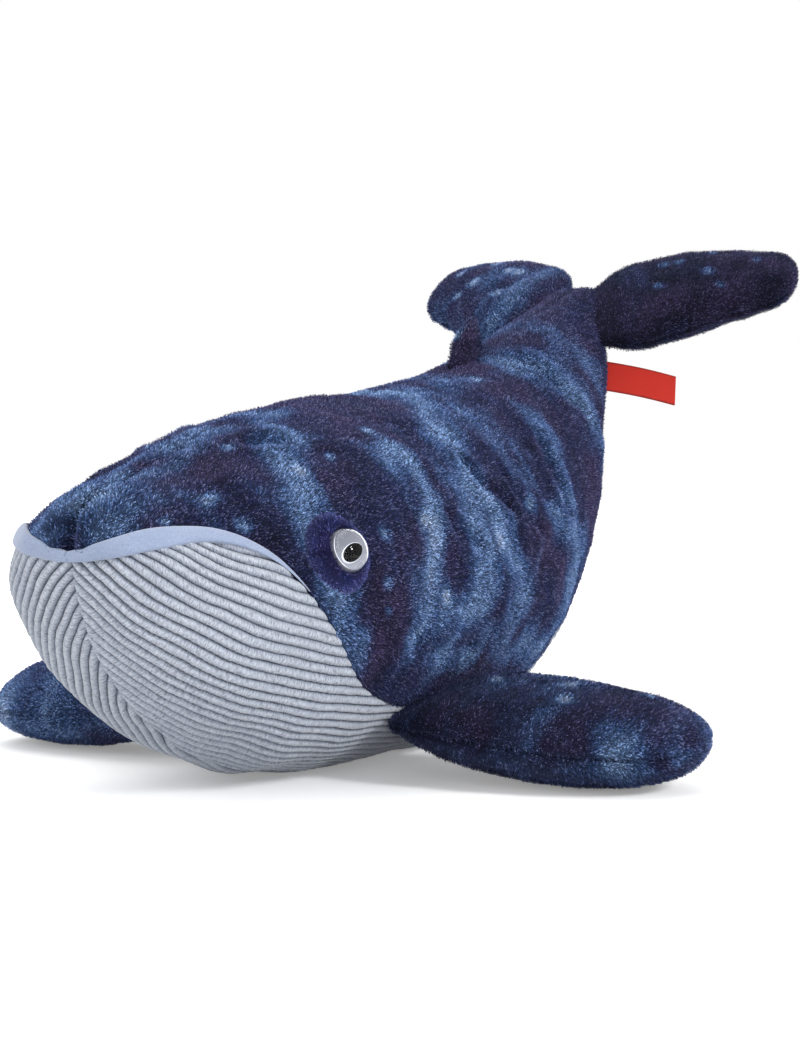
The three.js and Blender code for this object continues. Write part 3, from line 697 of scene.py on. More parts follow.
# RIM_START begins a painted reflection of the dome's edge on the disc
RIM_START, WALL_START, PUPIL_EDGE = 0.0074, 0.0079, 0.0041  # the radii where their paint changes
dome_left = turned("eye_dome_left_clear", DOME, eye_place)
iris_left = turned("eye_iris_left_silver", DISC, eye_place)
pupil_shift = Matrix.Translation((0.0009, -0.0012, 0))
pupil_tilt = Matrix.Rotation(math.radians(25), 4, "Z")
pupil_oval = Matrix.Diagonal((1.22, 0.70, 1, 1))
pupil_place = eye_place @ pupil_shift @ pupil_tilt @ pupil_oval
pupil_left = turned("eye_pupil_left_black", PUPIL, pupil_place, 40)
dome_right = mirrored(dome_left, "eye_dome_right_clear")
iris_right = mirrored(iris_left, "eye_iris_right_silver")
pupil_right = mirrored(pupil_left, "eye_pupil_right_black")

# limbs

# Each row: the span, the leading and trailing edges as shares of the chord, and the thickness
FLIPPER_ROWS = [
    (0.00, -0.43, 0.44, 0.42),
    (0.05, -0.46, 0.47, 0.60),
    (0.14, -0.49, 0.50, 0.82),
    (0.28, -0.50, 0.50, 0.97),
    (0.45, -0.50, 0.50, 1.00),
    (0.62, -0.49, 0.50, 0.98),
    (0.77, -0.44, 0.48, 0.90),
    (0.89, -0.34, 0.42, 0.74),
    (0.96, -0.21, 0.32, 0.52),
    (1.00, -0.03, 0.15, 0.14),
]
FLUKE_ROWS = [
    (0.00, -0.54, 0.64, 0.72),
    (0.06, -0.58, 0.66, 0.80),
    (0.16, -0.59, 0.66, 0.88),
    (0.30, -0.56, 0.65, 0.96),
    (0.46, -0.50, 0.58, 1.00),
    (0.62, -0.45, 0.49, 0.95),
    (0.78, -0.41, 0.40, 0.84),
    (0.90, -0.36, 0.32, 0.66),
    (0.97, -0.27, 0.22, 0.44),
    (1.00, -0.08, 0.08, 0.12),
]
FIN_ROWS = [
    (0.00, -0.50, 0.50, 0.60),
    (0.25, -0.42, 0.36, 0.80),
    (0.50, -0.34, 0.26, 1.00),
    (0.75, -0.24, 0.20, 0.85),
    (0.93, -0.14, 0.14, 0.50),
    (1.00, -0.04, 0.06, 0.15),
]

# Pale spots of the print on a limb: shares of the span and of the chord, and width in metres
LIMB_SPOTS = [
    (0.25, 0.33, 0.004),
    (0.34, 0.30, 0.003),
    (0.24, -0.04, 0.003),
    (0.52, 0.0, 0.0042),
    (0.58, -0.2, 0.003),
    (0.53, 0.36, 0.003),
    (0.78, 0.1, 0.003),
]

ROOT_ROWS = 8  # rows of a limb that lie inside the body
GROOVE_HALF, GROOVE_DEPTH, TIP_GROOVE = 0.0022, 0.0024, 0.002  # the edge's seam, deeper towards the tip
PUCKER_LENGTH, PUCKER_REACH = 0.011, 0.011
FRONT_SHARE, TIP_START, TIP_SHARE = 0.16, 0.9, 0.12  # where a limb's print is paler, as shares of its size


def limb(name, rows, place, span, chord, thickness, sweep, root, seed, print_and_shade_shift, size=0.0012, pucker=0.0014):
    """A stuffed limb of two skins, with a seam round its edge and its root let into the body."""
    count = int(span / size)
    around = int(2.2 * chord / size) // 2 * 2
    shares = along(rows, np.linspace(0, len(rows) - 1, count))
    x = np.concatenate([-root * np.linspace(1, 0.12, ROOT_ROWS), shares[:, 0] * span])
    inside = np.repeat(shares[:1], ROOT_ROWS, 0) * np.linspace(0.55, 0.97, ROOT_ROWS)[:, None] ** 0.7
    shares = np.concatenate([inside, shares])
    lead, trail, thick = shares[:, 1] * chord, shares[:, 2] * chord, shares[:, 3] * thickness
    turn = np.linspace(0, 2 * np.pi, around + 1)[None, :-1]
    middle = ((lead + trail) / 2 + x * math.tan(sweep))[:, None]
    half = ((trail - lead) / 2)[:, None]
    y = middle + half * np.cos(turn)
    z = thick[:, None] / 2 * np.sin(turn)
    points = np.stack([x[:, None] + 0 * turn, y, z], -1)
    # the seam: a groove, and puckers that run out from it; the groove's mask also paints shade along it
    from_seam = np.abs(np.sin(turn)) * half * 0.9 + np.abs(z) * 0.4
    edge = run_of(points, 0)[:, [0]] + 0.31 * (np.cos(turn) > 0)
    wave = ripple(np.stack([edge + 0 * turn, 0 * y, 0 * y], -1), PUCKER_LENGTH, seed, 12)
    seam = np.exp(-((from_seam / GROOVE_HALF) ** 2))
    groove = -(GROOVE_DEPTH + TIP_GROOVE * np.clip(x / span, 0, 1)[:, None]) * seam
    fold = pucker * wave * np.exp(-((from_seam / PUCKER_REACH) ** 2)) * (1 - seam)
    out = unit(np.stack([0 * y, (y - middle) / half**2, z / np.maximum(thick[:, None] / 2, 1e-4) ** 2], -1))
    plump = 0.0008 * ripple(points, 0.04, seed + 1) + 0.0002 * ripple(points, 0.014, seed + 2)
    fade = np.clip(np.minimum(1, thick / 0.008), 0, 1)[:, None]
    points = points + out * ((groove + fold + plump - PILE_SINK) * fade)[..., None]
    uv_turn = np.linspace(0, 2 * np.pi, around + 1)[None, :]
    uv = np.stack([x[:, None] + 0 * uv_turn + 0.1 * seed, (half * uv_turn) + 0.05], -1)
    # the print: broad waves, and paler at the leading edge and the tip, shifted by a given amount, which on
    # the flukes is painted shade
    marks = np.zeros(points.shape[:-1])
    for far, across, width in LIMB_SPOTS:
        spot = np.array((far * span, across * chord + far * span * math.tan(sweep)))
        away = np.linalg.norm(points[..., :2] - spot, axis=-1) / width
        marks = np.maximum(marks, np.clip(1.6 * np.exp(-(away**2)), 0, 1) * (points[..., 2] > 0))
    world = points @ np.array(place.to_3x3()).T + np.array(place.translation)
    bands = 0.45 * np.clip(ripple(points * (1, 0.35, 0.35), 0.035, seed + 5), 0, 1)
    front, far = (y - middle + half) / (2 * half), x[:, None] / span
    bands = bands + 0.25 * np.exp(-((front / FRONT_SHARE) ** 2)) * (0.5 + 0.5 * np.clip(far, 0, 1))
    bands = bands + 0.25 * np.exp(-(((far - TIP_START) / TIP_SHARE) ** 2)) + print_and_shade_shift
    return grid_piece(name, world, uv, closed=True, poles=(True, True), bands=bands, spots=marks, seam=seam)


def paint_light_on(piece, amount):
    """Painted light: a paler print for the far limb of a pair."""
    layer = piece.data.attributes["bands"].data
    layer.foreach_set("value", values_of(layer, "value", 1).ravel() + amount)


# painted light: how much paler the right limbs, on the far side, are made
FAR_FLIPPER_LIGHT, FAR_FLUKE_LIGHT = 0.3, 0.7  # how much paler the print of the right one is

flipper_left = limb(
    "flipper_left_plush",
    FLIPPER_ROWS,
    flipper_place,
    span=0.117,
    chord=0.082,
    thickness=0.042,
    sweep=math.radians(6.5),
    root=0.012,
    seed=60,
    print_and_shade_shift=-0.05,
)
flipper_right = mirrored(flipper_left, "flipper_right_plush")
# painted light on the far flipper and fluke
paint_light_on(flipper_right, FAR_FLIPPER_LIGHT)
fluke_left = limb(
    "fluke_left_plush",
    FLUKE_ROWS,
    fluke_place,
    span=0.098,
    chord=0.063,
    thickness=0.030,
    sweep=math.radians(18),
    root=0.016,
    seed=70,
    # painted shade: the flukes' print much darker, the near one standing in shade
    print_and_shade_shift=-0.6,
)
fluke_right = mirrored(fluke_left, "fluke_right_plush")
paint_light_on(fluke_right, FAR_FLUKE_LIGHT)
fin = limb(
    "back_fin_plush",
    FIN_ROWS,
    fin_place,
    span=0.017,
    chord=0.040,
    thickness=0.011,
    sweep=math.radians(35),
    root=0.005,
    seed=80,
    print_and_shade_shift=-0.2,
    size=0.0009,
    pucker=0.0003,
)

# the pile


def corners_of(mesh):
    """The vertices and corners of a mesh's triangles."""
    mesh.calc_loop_triangles()
    found = []
    for key in ("vertices", "loops"):
        values = np.empty(len(mesh.loop_triangles) * 3, np.int32)
        mesh.loop_triangles.foreach_get(key, values)
        found.append(values.reshape(-1, 3))
    return found


PILE = 0.0018
DENSITY = 2.9e6  # blades on a square metre
BLADE = 0.11  # half a blade's width as a share of the pile's length
CLIPPED = 0.6  # the share of blades that stand on their point, so that the pile ends level
LIE, STAND, TANGLE = 0.7, 0.78, 0.3  # how much a blade lies down, stands up and strays
COMB_STRAY, COMB_SIZE = 0.45, 0.012  # how much the lie of the pile turns, and over what length
BLADE_ROOT = 0.0003  # how deep it stands in the skin


def pile(name, skin, density, length, lie, seed, keep=None):
    """Short pile on a skin: one blade for each tuft, leaning the way that the pile lies."""
    mesh = skin.data
    triangles, loops = corners_of(mesh)
    spots, normals = values_of(mesh.vertices, "co", 3), values_of(mesh.vertices, "normal", 3)
    a, b, c = (spots[triangles[:, k]] for k in range(3))
    area = np.linalg.norm(np.cross(b - a, c - a), axis=1) / 2
    if keep is not None:
        area = area * keep((a + b + c) / 3)
    rng = np.random.default_rng(seed)
    count = int(area.sum() * density)
    pick = rng.choice(len(area), count, p=area / area.sum())
    share = rng.random((count, 2))
    share = np.where(share.sum(1, keepdims=True) > 1, 1 - share, share)
    weights = np.stack([1 - share.sum(1), share[:, 0], share[:, 1]], 1)

    def at(values, index):
        return (values[index[pick]] * weights[..., None]).sum(1)

    # in the order of the cloth, so that neighbours on it are neighbours in the map
    cloth = at(values_of(mesh.uv_layers["cloth"].data, "uv", 2), loops)
    cell = int(math.ceil(math.sqrt(count)))
    order = np.argsort(cloth[:, 0])
    for start in range(0, count, cell):
        part = order[start : start + cell]
        order[start : start + cell] = part[np.argsort(cloth[part, 1])]
    pick, weights, cloth = pick[order], weights[order], cloth[order]
    root, out = at(spots, triangles), unit(at(normals, triangles))
    way = lie(root) + COMB_STRAY * np.stack([ripple(root, COMB_SIZE, seed + k, 10) for k in range(3)], -1)
    way = unit(way - out * (way * out).sum(1, keepdims=True))
    way = unit(way * LIE + out * STAND + TANGLE * rng.normal(size=(count, 3)))
    side = unit(np.cross(way, out) + 0.35 * rng.normal(size=(count, 3)))
    long = length * rng.uniform(0.6, 1.15, (count, 1))
    wide = BLADE * length * rng.uniform(0.7, 1.3, (count, 1))
    root = root - out * BLADE_ROOT
    clipped = rng.random((count, 1)) < CLIPPED
    tips = np.where(clipped, (1.0, 1.0, 0.0), (0.0, 0.0, 1.0))
    points = root[:, None] + (way * long)[:, None] * tips[..., None]
    points = points + (side * wide)[:, None] * np.array([[-1.0], [1.0], [0.0]])
    facing = np.cross(points[:, 1] - points[:, 0], points[:, 2] - points[:, 0])
    back = (facing * out).sum(1) < 0
    points[back] = points[back][:, [1, 0, 2]]
    facing[back] *= -1
    attributes = {"tip": tips.ravel(), "fleck": np.repeat(rng.random(count), 3)}
    for layer in mesh.attributes:
        if layer.domain == "POINT" and layer.data_type == "FLOAT":
            attributes[layer.name] = np.repeat(at(values_of(layer.data, "value", 1), triangles)[:, 0], 3)
    faces = np.arange(count * 3).reshape(-1, 3).tolist()
    piece = piece_from(name, points.reshape(-1, 3), faces, np.repeat(cloth, 3, 0), attributes)
    # each blade has a cell of its own in the OFBake map
    corner = np.stack([np.arange(count) % cell, np.arange(count) // cell], 1)[:, None]
    corner = (corner + np.array([(0.1, 0.1), (0.9, 0.1), (0.5, 0.9)])) / cell
    piece.data.uv_layers.new(name="OFBake").data.foreach_set("uv", corner.astype(np.float32).ravel())
    shown = unit(0.55 * out + 0.45 * unit(facing))
    piece.data.normals_split_custom_set_from_vertices(np.repeat(shown, 3, 0).tolist())
    return piece


def lie_of_body(points):
    """The pile lies towards the tail, and downwards at the sides."""
    down = np.clip(np.abs(points[:, 0]) / 0.07, 0, 1)
    return np.stack([0 * down, 0 * down + 1, -0.45 * down], 1)


def lie_of_limb(place, trail):
    """The pile lies towards the tip, and leans back by the trail."""
    way = np.array(place.to_3x3() @ Vector((1, trail, 0)))
    return lambda points: 0 * points + way


PILE_START = 0.015  # how far inside its place a limb's pile starts
EYE_CLEAR = 0.0098  # the patch's pile stays this far from the middle of the eye


def out_of_body(place):
    """Keeps the pile to the part of a limb that lies outside the body."""
    origin, out = np.array(place.translation), np.array(place.to_3x3() @ Vector((1, 0, 0)))
    return lambda points: ((points - origin) @ out > -PILE_START).astype(float)


def off_patch(side):
    """Keeps the pile to one side of the body, and off the eye patch."""

    def keep(points):
        own_side = points[:, 0] * side >= 0
        away = np.linalg.norm(left_of(points) - np.array(PATCH_CENTRE), axis=-1)
        return (own_side & (away > PATCH_RADIUS - 0.002)).astype(float)

    return keep


def lie_of_patch(points):
    """The patch's pile lies out from the eye."""
    return unit(points - np.array(eye_place.translation)) + (0, 0.3, 0)


def off_eye(points):
    """Keeps the pile clear of the eye."""
    return (np.linalg.norm(points - np.array(eye_place.translation), axis=-1) > EYE_CLEAR).astype(float)


flipper_lie, flipper_free = lie_of_limb(flipper_place, 0.5), out_of_body(flipper_place)
fluke_lie, fluke_free = lie_of_limb(fluke_place, 0.4), out_of_body(fluke_place)
back_pile_left = pile("back_pile_left", back_plush, DENSITY, PILE, lie_of_body, 101, off_patch(1))
back_pile_right = mirrored(back_pile_left, "back_pile_right")
patch_pile_left = pile("eye_patch_pile_left", patch_left, 4e6, 0.0016, lie_of_patch, 103, off_eye)
patch_pile_right = mirrored(patch_pile_left, "eye_patch_pile_right")
flipper_pile_left = pile("flipper_pile_left", flipper_left, DENSITY, PILE, flipper_lie, 104, flipper_free)
flipper_pile_right = mirrored(flipper_pile_left, "flipper_pile_right")
# painted light on the far limbs' pile, as on their skins
paint_light_on(flipper_pile_right, FAR_FLIPPER_LIGHT)
fluke_pile_left = pile("fluke_pile_left", fluke_left, DENSITY, PILE, fluke_lie, 105, fluke_free)
fluke_pile_right = mirrored(fluke_pile_left, "fluke_pile_right")
paint_light_on(fluke_pile_right, FAR_FLUKE_LIGHT)
fin_pile = pile("back_fin_pile", fin, 2.6e6, 0.002, lie_of_limb(fin_place, 0.8), 106)

# the tag

TAG_WIDTH, TAG_REACH, TAG_ROOT = 0.018, 0.041, 0.003
TAG_GAP = 0.0005  # half the gap between its two layers
TAG_CLOTH = 0.0003
TAG_BEND, BEND_LENGTH = 0.0012, 0.013  # how far it waves to either side, and over what length
WEFT_PITCH, WARP_PITCH, SELVEDGE = 0.0006, 0.0008, 0.0008


def folded_tag():
    """The ribbon, folded across its middle, with both ends in the seam; and its length when flat."""
    layer = np.linspace(-TAG_ROOT, TAG_REACH - TAG_GAP, 40)
    t = np.linspace(-np.pi / 2, np.pi / 2, 9)
    x = np.concatenate([layer[:-1], TAG_REACH - TAG_GAP + TAG_GAP * np.cos(t), layer[::-1][1:]])
    z = np.concatenate([0 * layer[1:] - TAG_GAP, TAG_GAP * np.sin(t), 0 * layer[1:] + TAG_GAP])
    bend = TAG_BEND * np.sin(x / BEND_LENGTH)
    y = np.linspace(-TAG_WIDTH / 2, TAG_WIDTH / 2, 19)
    points = np.stack([x[:, None] + 0 * y, y[None, :] + 0 * x[:, None], (z + bend)[:, None] + 0 * y], -1)
    run = run_of(points, 0)[:, [0]]
    uv = np.stack([run + 0 * y, y[None, :] + 0 * run], -1)
    world = points @ np.array(tag_place.to_3x3()).T + np.array(tag_place.translation)
    piece = grid_piece("tag_ribbon", world, uv)
    piece.modifiers.new("thickness", "SOLIDIFY").thickness = TAG_CLOTH
    piece.modifiers["thickness"].offset = 0
    bpy.context.view_layer.objects.active = piece
    bpy.ops.object.modifier_apply(modifier="thickness")
    return piece, float(run[-1, 0])


tag, tag_length = folded_tag()

# materials


def colour(code):
    """A linear colour from a written one."""
    parts = [int(code[k : k + 2], 16) / 255 for k in (1, 3, 5)]
    return (*[p / 12.92 if p <= 0.04045 else ((p + 0.055) / 1.055) ** 2.4 for p in parts], 1)


class Nodes:
    """A node tree and short ways to fill it."""

    def __init__(self, tree):
        self.tree = tree

    def add(self, kind, inputs=None, **settings):
        node = self.tree.nodes.new(kind)
        for key, value in settings.items():
            setattr(node, key, value)
        for key, value in (inputs or {}).items():
            if isinstance(value, bpy.types.NodeSocket):
                self.tree.links.new(value, node.inputs[key])
            else:
                node.inputs[key].default_value = value
        return node

    def math(self, operation, a, b=0.0, c=0.0, clamp=False):
        node = self.add("ShaderNodeMath", {0: a, 1: b, 2: c}, operation=operation, use_clamp=clamp)
        return node.outputs[0]

    def grey(self, value):
        return self.add("ShaderNodeCombineColor", {0: value, 1: value, 2: value}).outputs[0]

    def place(self):
        return self.add("ShaderNodeTexCoord").outputs["Object"]

    def cloth(self):
        return self.add("ShaderNodeUVMap", uv_map="cloth").outputs[0]

    def open_ray(self):
        """One for rays that see the white studio: from the camera, mirrored or let through."""
        rays = self.add("ShaderNodeLightPath").outputs
        through = self.math("MAXIMUM", rays["Is Glossy Ray"], rays["Is Transmission Ray"])
        return self.math("MAXIMUM", rays["Is Camera Ray"], through)

    def noise(self, vector, scale, detail=2.0, roughness=0.5):
        inputs = {"Vector": vector, "Scale": scale, "Detail": detail, "Roughness": roughness}
        return self.add("ShaderNodeTexNoise", inputs).outputs["Fac"]

    def stretch(self, vector, scale):
        return self.add("ShaderNodeMapping", {"Vector": vector, "Scale": scale}).outputs[0]

    def ramp(self, value, stops):
        node = self.add("ShaderNodeValToRGB", {0: value})
        points = node.color_ramp.elements
        while len(points) < len(stops):
            points.new(0.5)
        for point, (place, code) in zip(points, stops):
            point.position, point.color = place, colour(code)
        return node.outputs[0]

    def mix(self, factor, a, b, blend="MIX"):
        node = self.add("ShaderNodeMix", {0: factor, 6: a, 7: b}, data_type="RGBA", blend_type=blend)
        return node.outputs[2]

    def attribute(self, name):
        return self.add("ShaderNodeAttribute", attribute_name=name).outputs["Fac"]


def group(name, inputs, outputs, build):
    """A node group that more than one material uses."""
    tree = bpy.data.node_groups.new(name, "ShaderNodeTree")
    for key, kind, value in inputs:
        socket = tree.interface.new_socket(name=key, in_out="INPUT", socket_type=kind)
        if value is not None:
            socket.default_value = value
    for key, kind in outputs:
        tree.interface.new_socket(name=key, in_out="OUTPUT", socket_type=kind)
    nodes = Nodes(tree)
    start, end = nodes.add("NodeGroupInput"), nodes.add("NodeGroupOutput")
    for key, value in build(nodes, start.outputs).items():
        tree.links.new(value, end.inputs[key])
    return tree


def pile_build(n, given):
    """Short pile: clumps of hair lying one way; Tips is low in the gaps between them, where in_pile paints
    shade.
    """
    fine = n.noise(n.stretch(given["Vector"], (1.0, 0.75, 1.0)), 1050.0, 2.0, 0.7)
    clump = n.noise(n.stretch(given["Vector"], (1.0, 0.7, 1.0)), 330.0, 2.0, 0.6)
    tips = n.math("ADD", n.math("MULTIPLY", fine, 0.65), n.math("MULTIPLY", clump, 0.35))
    tips = n.math("MULTIPLY_ADD", n.math("SUBTRACT", tips, 0.5), given["Contrast"], 0.5, clamp=True)
    return {"Tips": tips, "Height": n.math("ADD", n.math("MULTIPLY", fine, 0.6), clump)}


pile_group = group(
    "pile",
    [("Vector", "NodeSocketVector", None), ("Contrast", "NodeSocketFloat", 3.0)],
    [("Tips", "NodeSocketFloat"), ("Height", "NodeSocketFloat")],
    pile_build,
)


def new_material(name, roughness, sheen=0.0, sheen_tint="#ffffff", **sockets):
    """A material with its constants set on the shader's own sockets."""
    material = bpy.data.materials.new(name)
    material.use_nodes = True
    nodes = Nodes(material.node_tree)
    shader = material.node_tree.nodes["Principled BSDF"]
    shader.inputs["Roughness"].default_value = roughness
    shader.inputs["Sheen Weight"].default_value = sheen
    shader.inputs["Sheen Roughness"].default_value = 0.45
    shader.inputs["Sheen Tint"].default_value = colour(sheen_tint)
    for key, value in sockets.items():
        shader.inputs[key.replace("_", " ")].default_value = value
    return material, nodes, shader


def bump(nodes, shader, height, strength, distance):
    node = nodes.add("ShaderNodeBump", {"Strength": strength, "Distance": distance, "Height": height})
    nodes.tree.links.new(node.outputs[0], shader.inputs["Normal"])


def paint(nodes, shader, value):
    nodes.tree.links.new(value, shader.inputs["Base Color"])


def in_pile(n, body, hair, light):
    """A colour with painted shade in the gaps of the pile, lighter or darker from blade to blade, and
    darkest at the roots as painted shade.
    """
    shade = n.ramp(hair.outputs["Tips"], [(0.0, "#9a9ab0"), (0.6, "#f0f2ff"), (1.0, "#ffffff")])
    return n.mix(1.0, n.mix(1.0, body, shade, "MULTIPLY"), n.grey(light), "MULTIPLY")


def light_blades(n, start, strength):
    """How much of the light hair's colour each blade shows, most at its tip; its fading towards the root is
    painted shade.
    """
    light = n.math("MULTIPLY_ADD", n.attribute("fleck"), 3.0, start, clamp=True)
    return n.math("MULTIPLY", n.math("MULTIPLY", light, n.attribute("tip")), strength)


def printed_plush():
    """Near-black blue, steel blue and violet, with pale hairs; bands and spots come with each piece."""
    material, n, shader = new_material("printed_plush", 0.95, 0.24, "#8398d2", Specular_IOR_Level=0.12)
    where, cloth = n.place(), n.cloth()
    streaks = n.noise(n.stretch(cloth, (30.0, 7.0, 1.0)), 1.0, 3.0, 0.55)
    mottle = n.noise(where, 85.0, 4.0, 0.6)
    purple = n.noise(where, 26.0, 2.0, 0.5)
    hair = n.add("ShaderNodeGroup", {"Vector": where, "Contrast": 4.2}, node_tree=pile_group)
    brushed = n.noise(n.stretch(cloth, (150.0, 35.0, 1.0)), 1.0, 2.0, 0.5)
    tone = n.math("MULTIPLY_ADD", n.math("SUBTRACT", streaks, 0.5), 0.75, 0.22)
    tone = n.math("MULTIPLY_ADD", n.math("SUBTRACT", brushed, 0.5), 0.35, tone)
    # bands: the print, less painted shade on the back cloth
    tone = n.math("ADD", tone, n.math("MULTIPLY", n.attribute("bands"), 0.55))
    tone = n.math("MULTIPLY_ADD", n.math("SUBTRACT", mottle, 0.5), 0.4, tone)
    # spots: the print's pale spots, and on the back cloth two painted highlights
    tone = n.math("MULTIPLY_ADD", n.attribute("spots"), 0.65, tone, clamp=True)
    body = n.ramp(
        tone, [(0.0, "#12132e"), (0.28, "#2a3058"), (0.5, "#486796"), (0.75, "#7a9bc4"), (1.0, "#b2c8e4")]
    )
    violet = n.math("MULTIPLY_ADD", n.math("SUBTRACT", purple, 0.5), 5.0, 0.35, clamp=True)
    violet = n.math("MULTIPLY", violet, n.math("MULTIPLY_ADD", tone, -1.7, 1.15, clamp=True))
    body = n.mix(n.math("MULTIPLY", violet, 0.95), body, colour("#433758"))
    # painted shade along the seams' grooves
    body = n.mix(n.math("MULTIPLY", n.attribute("seam"), 0.6), body, colour("#0e1024"))
    light = n.math("MULTIPLY_ADD", n.math("POWER", n.attribute("fleck"), 2.0), 1.2, 0.45)
    # painted shade: each blade darker towards its root
    light = n.math("MULTIPLY", light, n.math("MULTIPLY_ADD", n.attribute("tip"), 0.95, 0.45))
    body = in_pile(n, body, hair, light)
    pale = light_blades(n, -2.0, n.math("MULTIPLY_ADD", tone, 0.45, 0.2, clamp=True))
    paint(n, shader, n.mix(pale, body, n.mix(tone, colour("#a39dba"), colour("#b9cbe8"))))
    bump(n, shader, hair.outputs["Height"], 0.55, 0.0016)
    return material


def patch_plush():
    """The dark violet plush about the eyes, lighter round its rim."""
    material, n, shader = new_material("patch_plush", 0.95, 0.22, "#8a90cc", Specular_IOR_Level=0.12)
    where = n.place()
    hair = n.add("ShaderNodeGroup", {"Vector": where, "Contrast": 2.6}, node_tree=pile_group)
    cloud = n.ramp(n.noise(where, 110.0, 2.0, 0.5), [(0.4, "#1c2a60"), (0.6, "#2d2b5c")])
    body = n.mix(n.attribute("rim"), cloud, colour("#3d4478"))
    edge = n.math("MULTIPLY", n.math("POWER", n.attribute("rim"), 6.0), 0.6)
    body = n.mix(edge, body, colour("#7c80b4"))
    light = n.math("MULTIPLY_ADD", n.attribute("fleck"), 0.7, 0.6)
    # painted shade: each blade darker towards its root
    light = n.math("MULTIPLY", light, n.math("MULTIPLY_ADD", n.attribute("tip"), 0.75, 0.55))
    body = in_pile(n, body, hair, light)
    paint(n, shader, n.mix(light_blades(n, -2.1, 0.5), body, colour("#a3a0e6")))
    bump(n, shader, hair.outputs["Height"], 0.5, 0.0014)
    return material


def corduroy():
    """Pale grey on the ribs' crests and painted shade in the valleys between them, with the cloth's fine
    weave.
    """
    material, n, shader = new_material("corduroy", 0.92, 0.25, "#ffffff")
    where, cloth = n.place(), n.cloth()
    rib = n.math("FRACT", n.attribute("ribs"))
    edge = n.math("ABSOLUTE", n.math("MULTIPLY_ADD", rib, 2.0, -1.0))
    crest = n.math("SUBTRACT", 1.0, n.math("POWER", edge, 3.0))
    grain = n.noise(n.stretch(cloth, (1700.0, 450.0, 1.0)), 1.0, 2.0, 0.7)
    wear = n.noise(where, 60.0, 2.0, 0.5)
    # painted shade: the ribs' valleys dark slate
    body = n.ramp(crest, [(0.0, "#2c313c"), (0.25, "#767e8d"), (0.6, "#a3abb8"), (1.0, "#bec4ce")])
    body = n.mix(n.math("MULTIPLY", wear, 0.35), body, colour("#b4bcd0"), "MULTIPLY")
    speck = n.ramp(grain, [(0.3, "#8e8e96"), (0.6, "#ffffff")])
    paint(n, shader, n.mix(0.85, body, speck, "MULTIPLY"))
    height = n.math("MULTIPLY_ADD", grain, 0.35, crest)
    bump(n, shader, height, 0.5, 0.001)
    return material


def velour():
    """Smooth blue-grey cloth with a very short nap."""
    material, n, shader = new_material("velour", 0.85, 0.4, "#ffffff")
    where = n.place()
    grain = n.noise(where, 1500.0, 2.0, 0.6)
    broad = n.noise(where, 70.0, 2.0, 0.5)
    body = n.mix(broad, colour("#8997b2"), colour("#99a5bd"))
    speck = n.ramp(grain, [(0.2, "#dcdce4"), (0.7, "#ffffff")])
    paint(n, shader, n.mix(1.0, body, speck, "MULTIPLY"))
    bump(n, shader, grain, 0.25, 0.0005)
    return material


def clear_plastic():
    """Clear moulding that lets the lamps through to what is painted behind it."""
    material, n, shader = new_material("clear_plastic", 0.03, Transmission_Weight=1.0, IOR=1.25)
    where = n.place()
    scuff = n.noise(where, 400.0, 2.0, 0.5)
    rough = n.math("MULTIPLY_ADD", n.math("POWER", scuff, 4.0), 0.05, 0.01)
    n.tree.links.new(rough, shader.inputs["Roughness"])
    shader.inputs["Base Color"].default_value = (0.97, 0.98, 1, 1)
    lamp_ray = n.add("ShaderNodeLightPath").outputs["Is Shadow Ray"]
    clear = n.add("ShaderNodeBsdfTransparent").outputs[0]
    mixed = n.add("ShaderNodeMixShader", {0: lamp_ray, 1: shader.outputs[0], 2: clear})
    n.tree.links.new(mixed.outputs[0], n.tree.nodes["Material Output"].inputs["Surface"])
    return material


def silver_paint():
    """Grey, with painted shade darker towards the top, a painted reflection as a bright rim, and a darker
    wall.
    """
    material, n, shader = new_material("silver_paint", 0.45)
    where = n.place()
    flake = n.noise(where, 2500.0, 2.0, 0.5)
    # painted shade: darker towards the top of the disc, lighter below
    level = n.math("MULTIPLY_ADD", n.attribute("up"), 60.0, 0.5)
    level = n.math("MULTIPLY_ADD", n.math("SUBTRACT", flake, 0.5), 0.3, level, clamp=True)
    body = n.ramp(level, [(0.0, "#7d808a"), (0.5, "#5c5f69"), (1.0, "#484b54")])
    # painted reflection: the bright rim stands for the light off the dome's edge
    rim = n.math("GREATER_THAN", n.attribute("radius"), RIM_START)
    wall = n.math("GREATER_THAN", n.attribute("radius"), WALL_START)
    body = n.mix(rim, body, colour("#f4f6fa"))
    paint(n, shader, n.mix(wall, body, colour("#747780")))
    return material


def black_paint():
    """Flat black, with a painted reflection as a thin bright edge."""
    material, n, shader = new_material("black_paint", 0.7, Specular_IOR_Level=0.0)
    where = n.place()
    body = n.mix(n.noise(where, 900.0), colour("#030303"), colour("#08080a"))
    # painted reflection: a thin bright edge round the pupil
    edge = n.math("GREATER_THAN", n.attribute("radius"), PUPIL_EDGE)
    paint(n, shader, n.mix(edge, body, colour("#c9ccd4")))
    return material


def white_plastic():
    """Plain moulding, for the stem and the washer inside the head."""
    material, n, shader = new_material("white_plastic", 0.5)
    where = n.place()
    cloud = n.noise(where, 300.0)
    paint(n, shader, n.mix(cloud, colour("#d2d2d0"), colour("#e2e2e0")))
    bump(n, shader, cloud, 0.1, 0.0002)
    return material


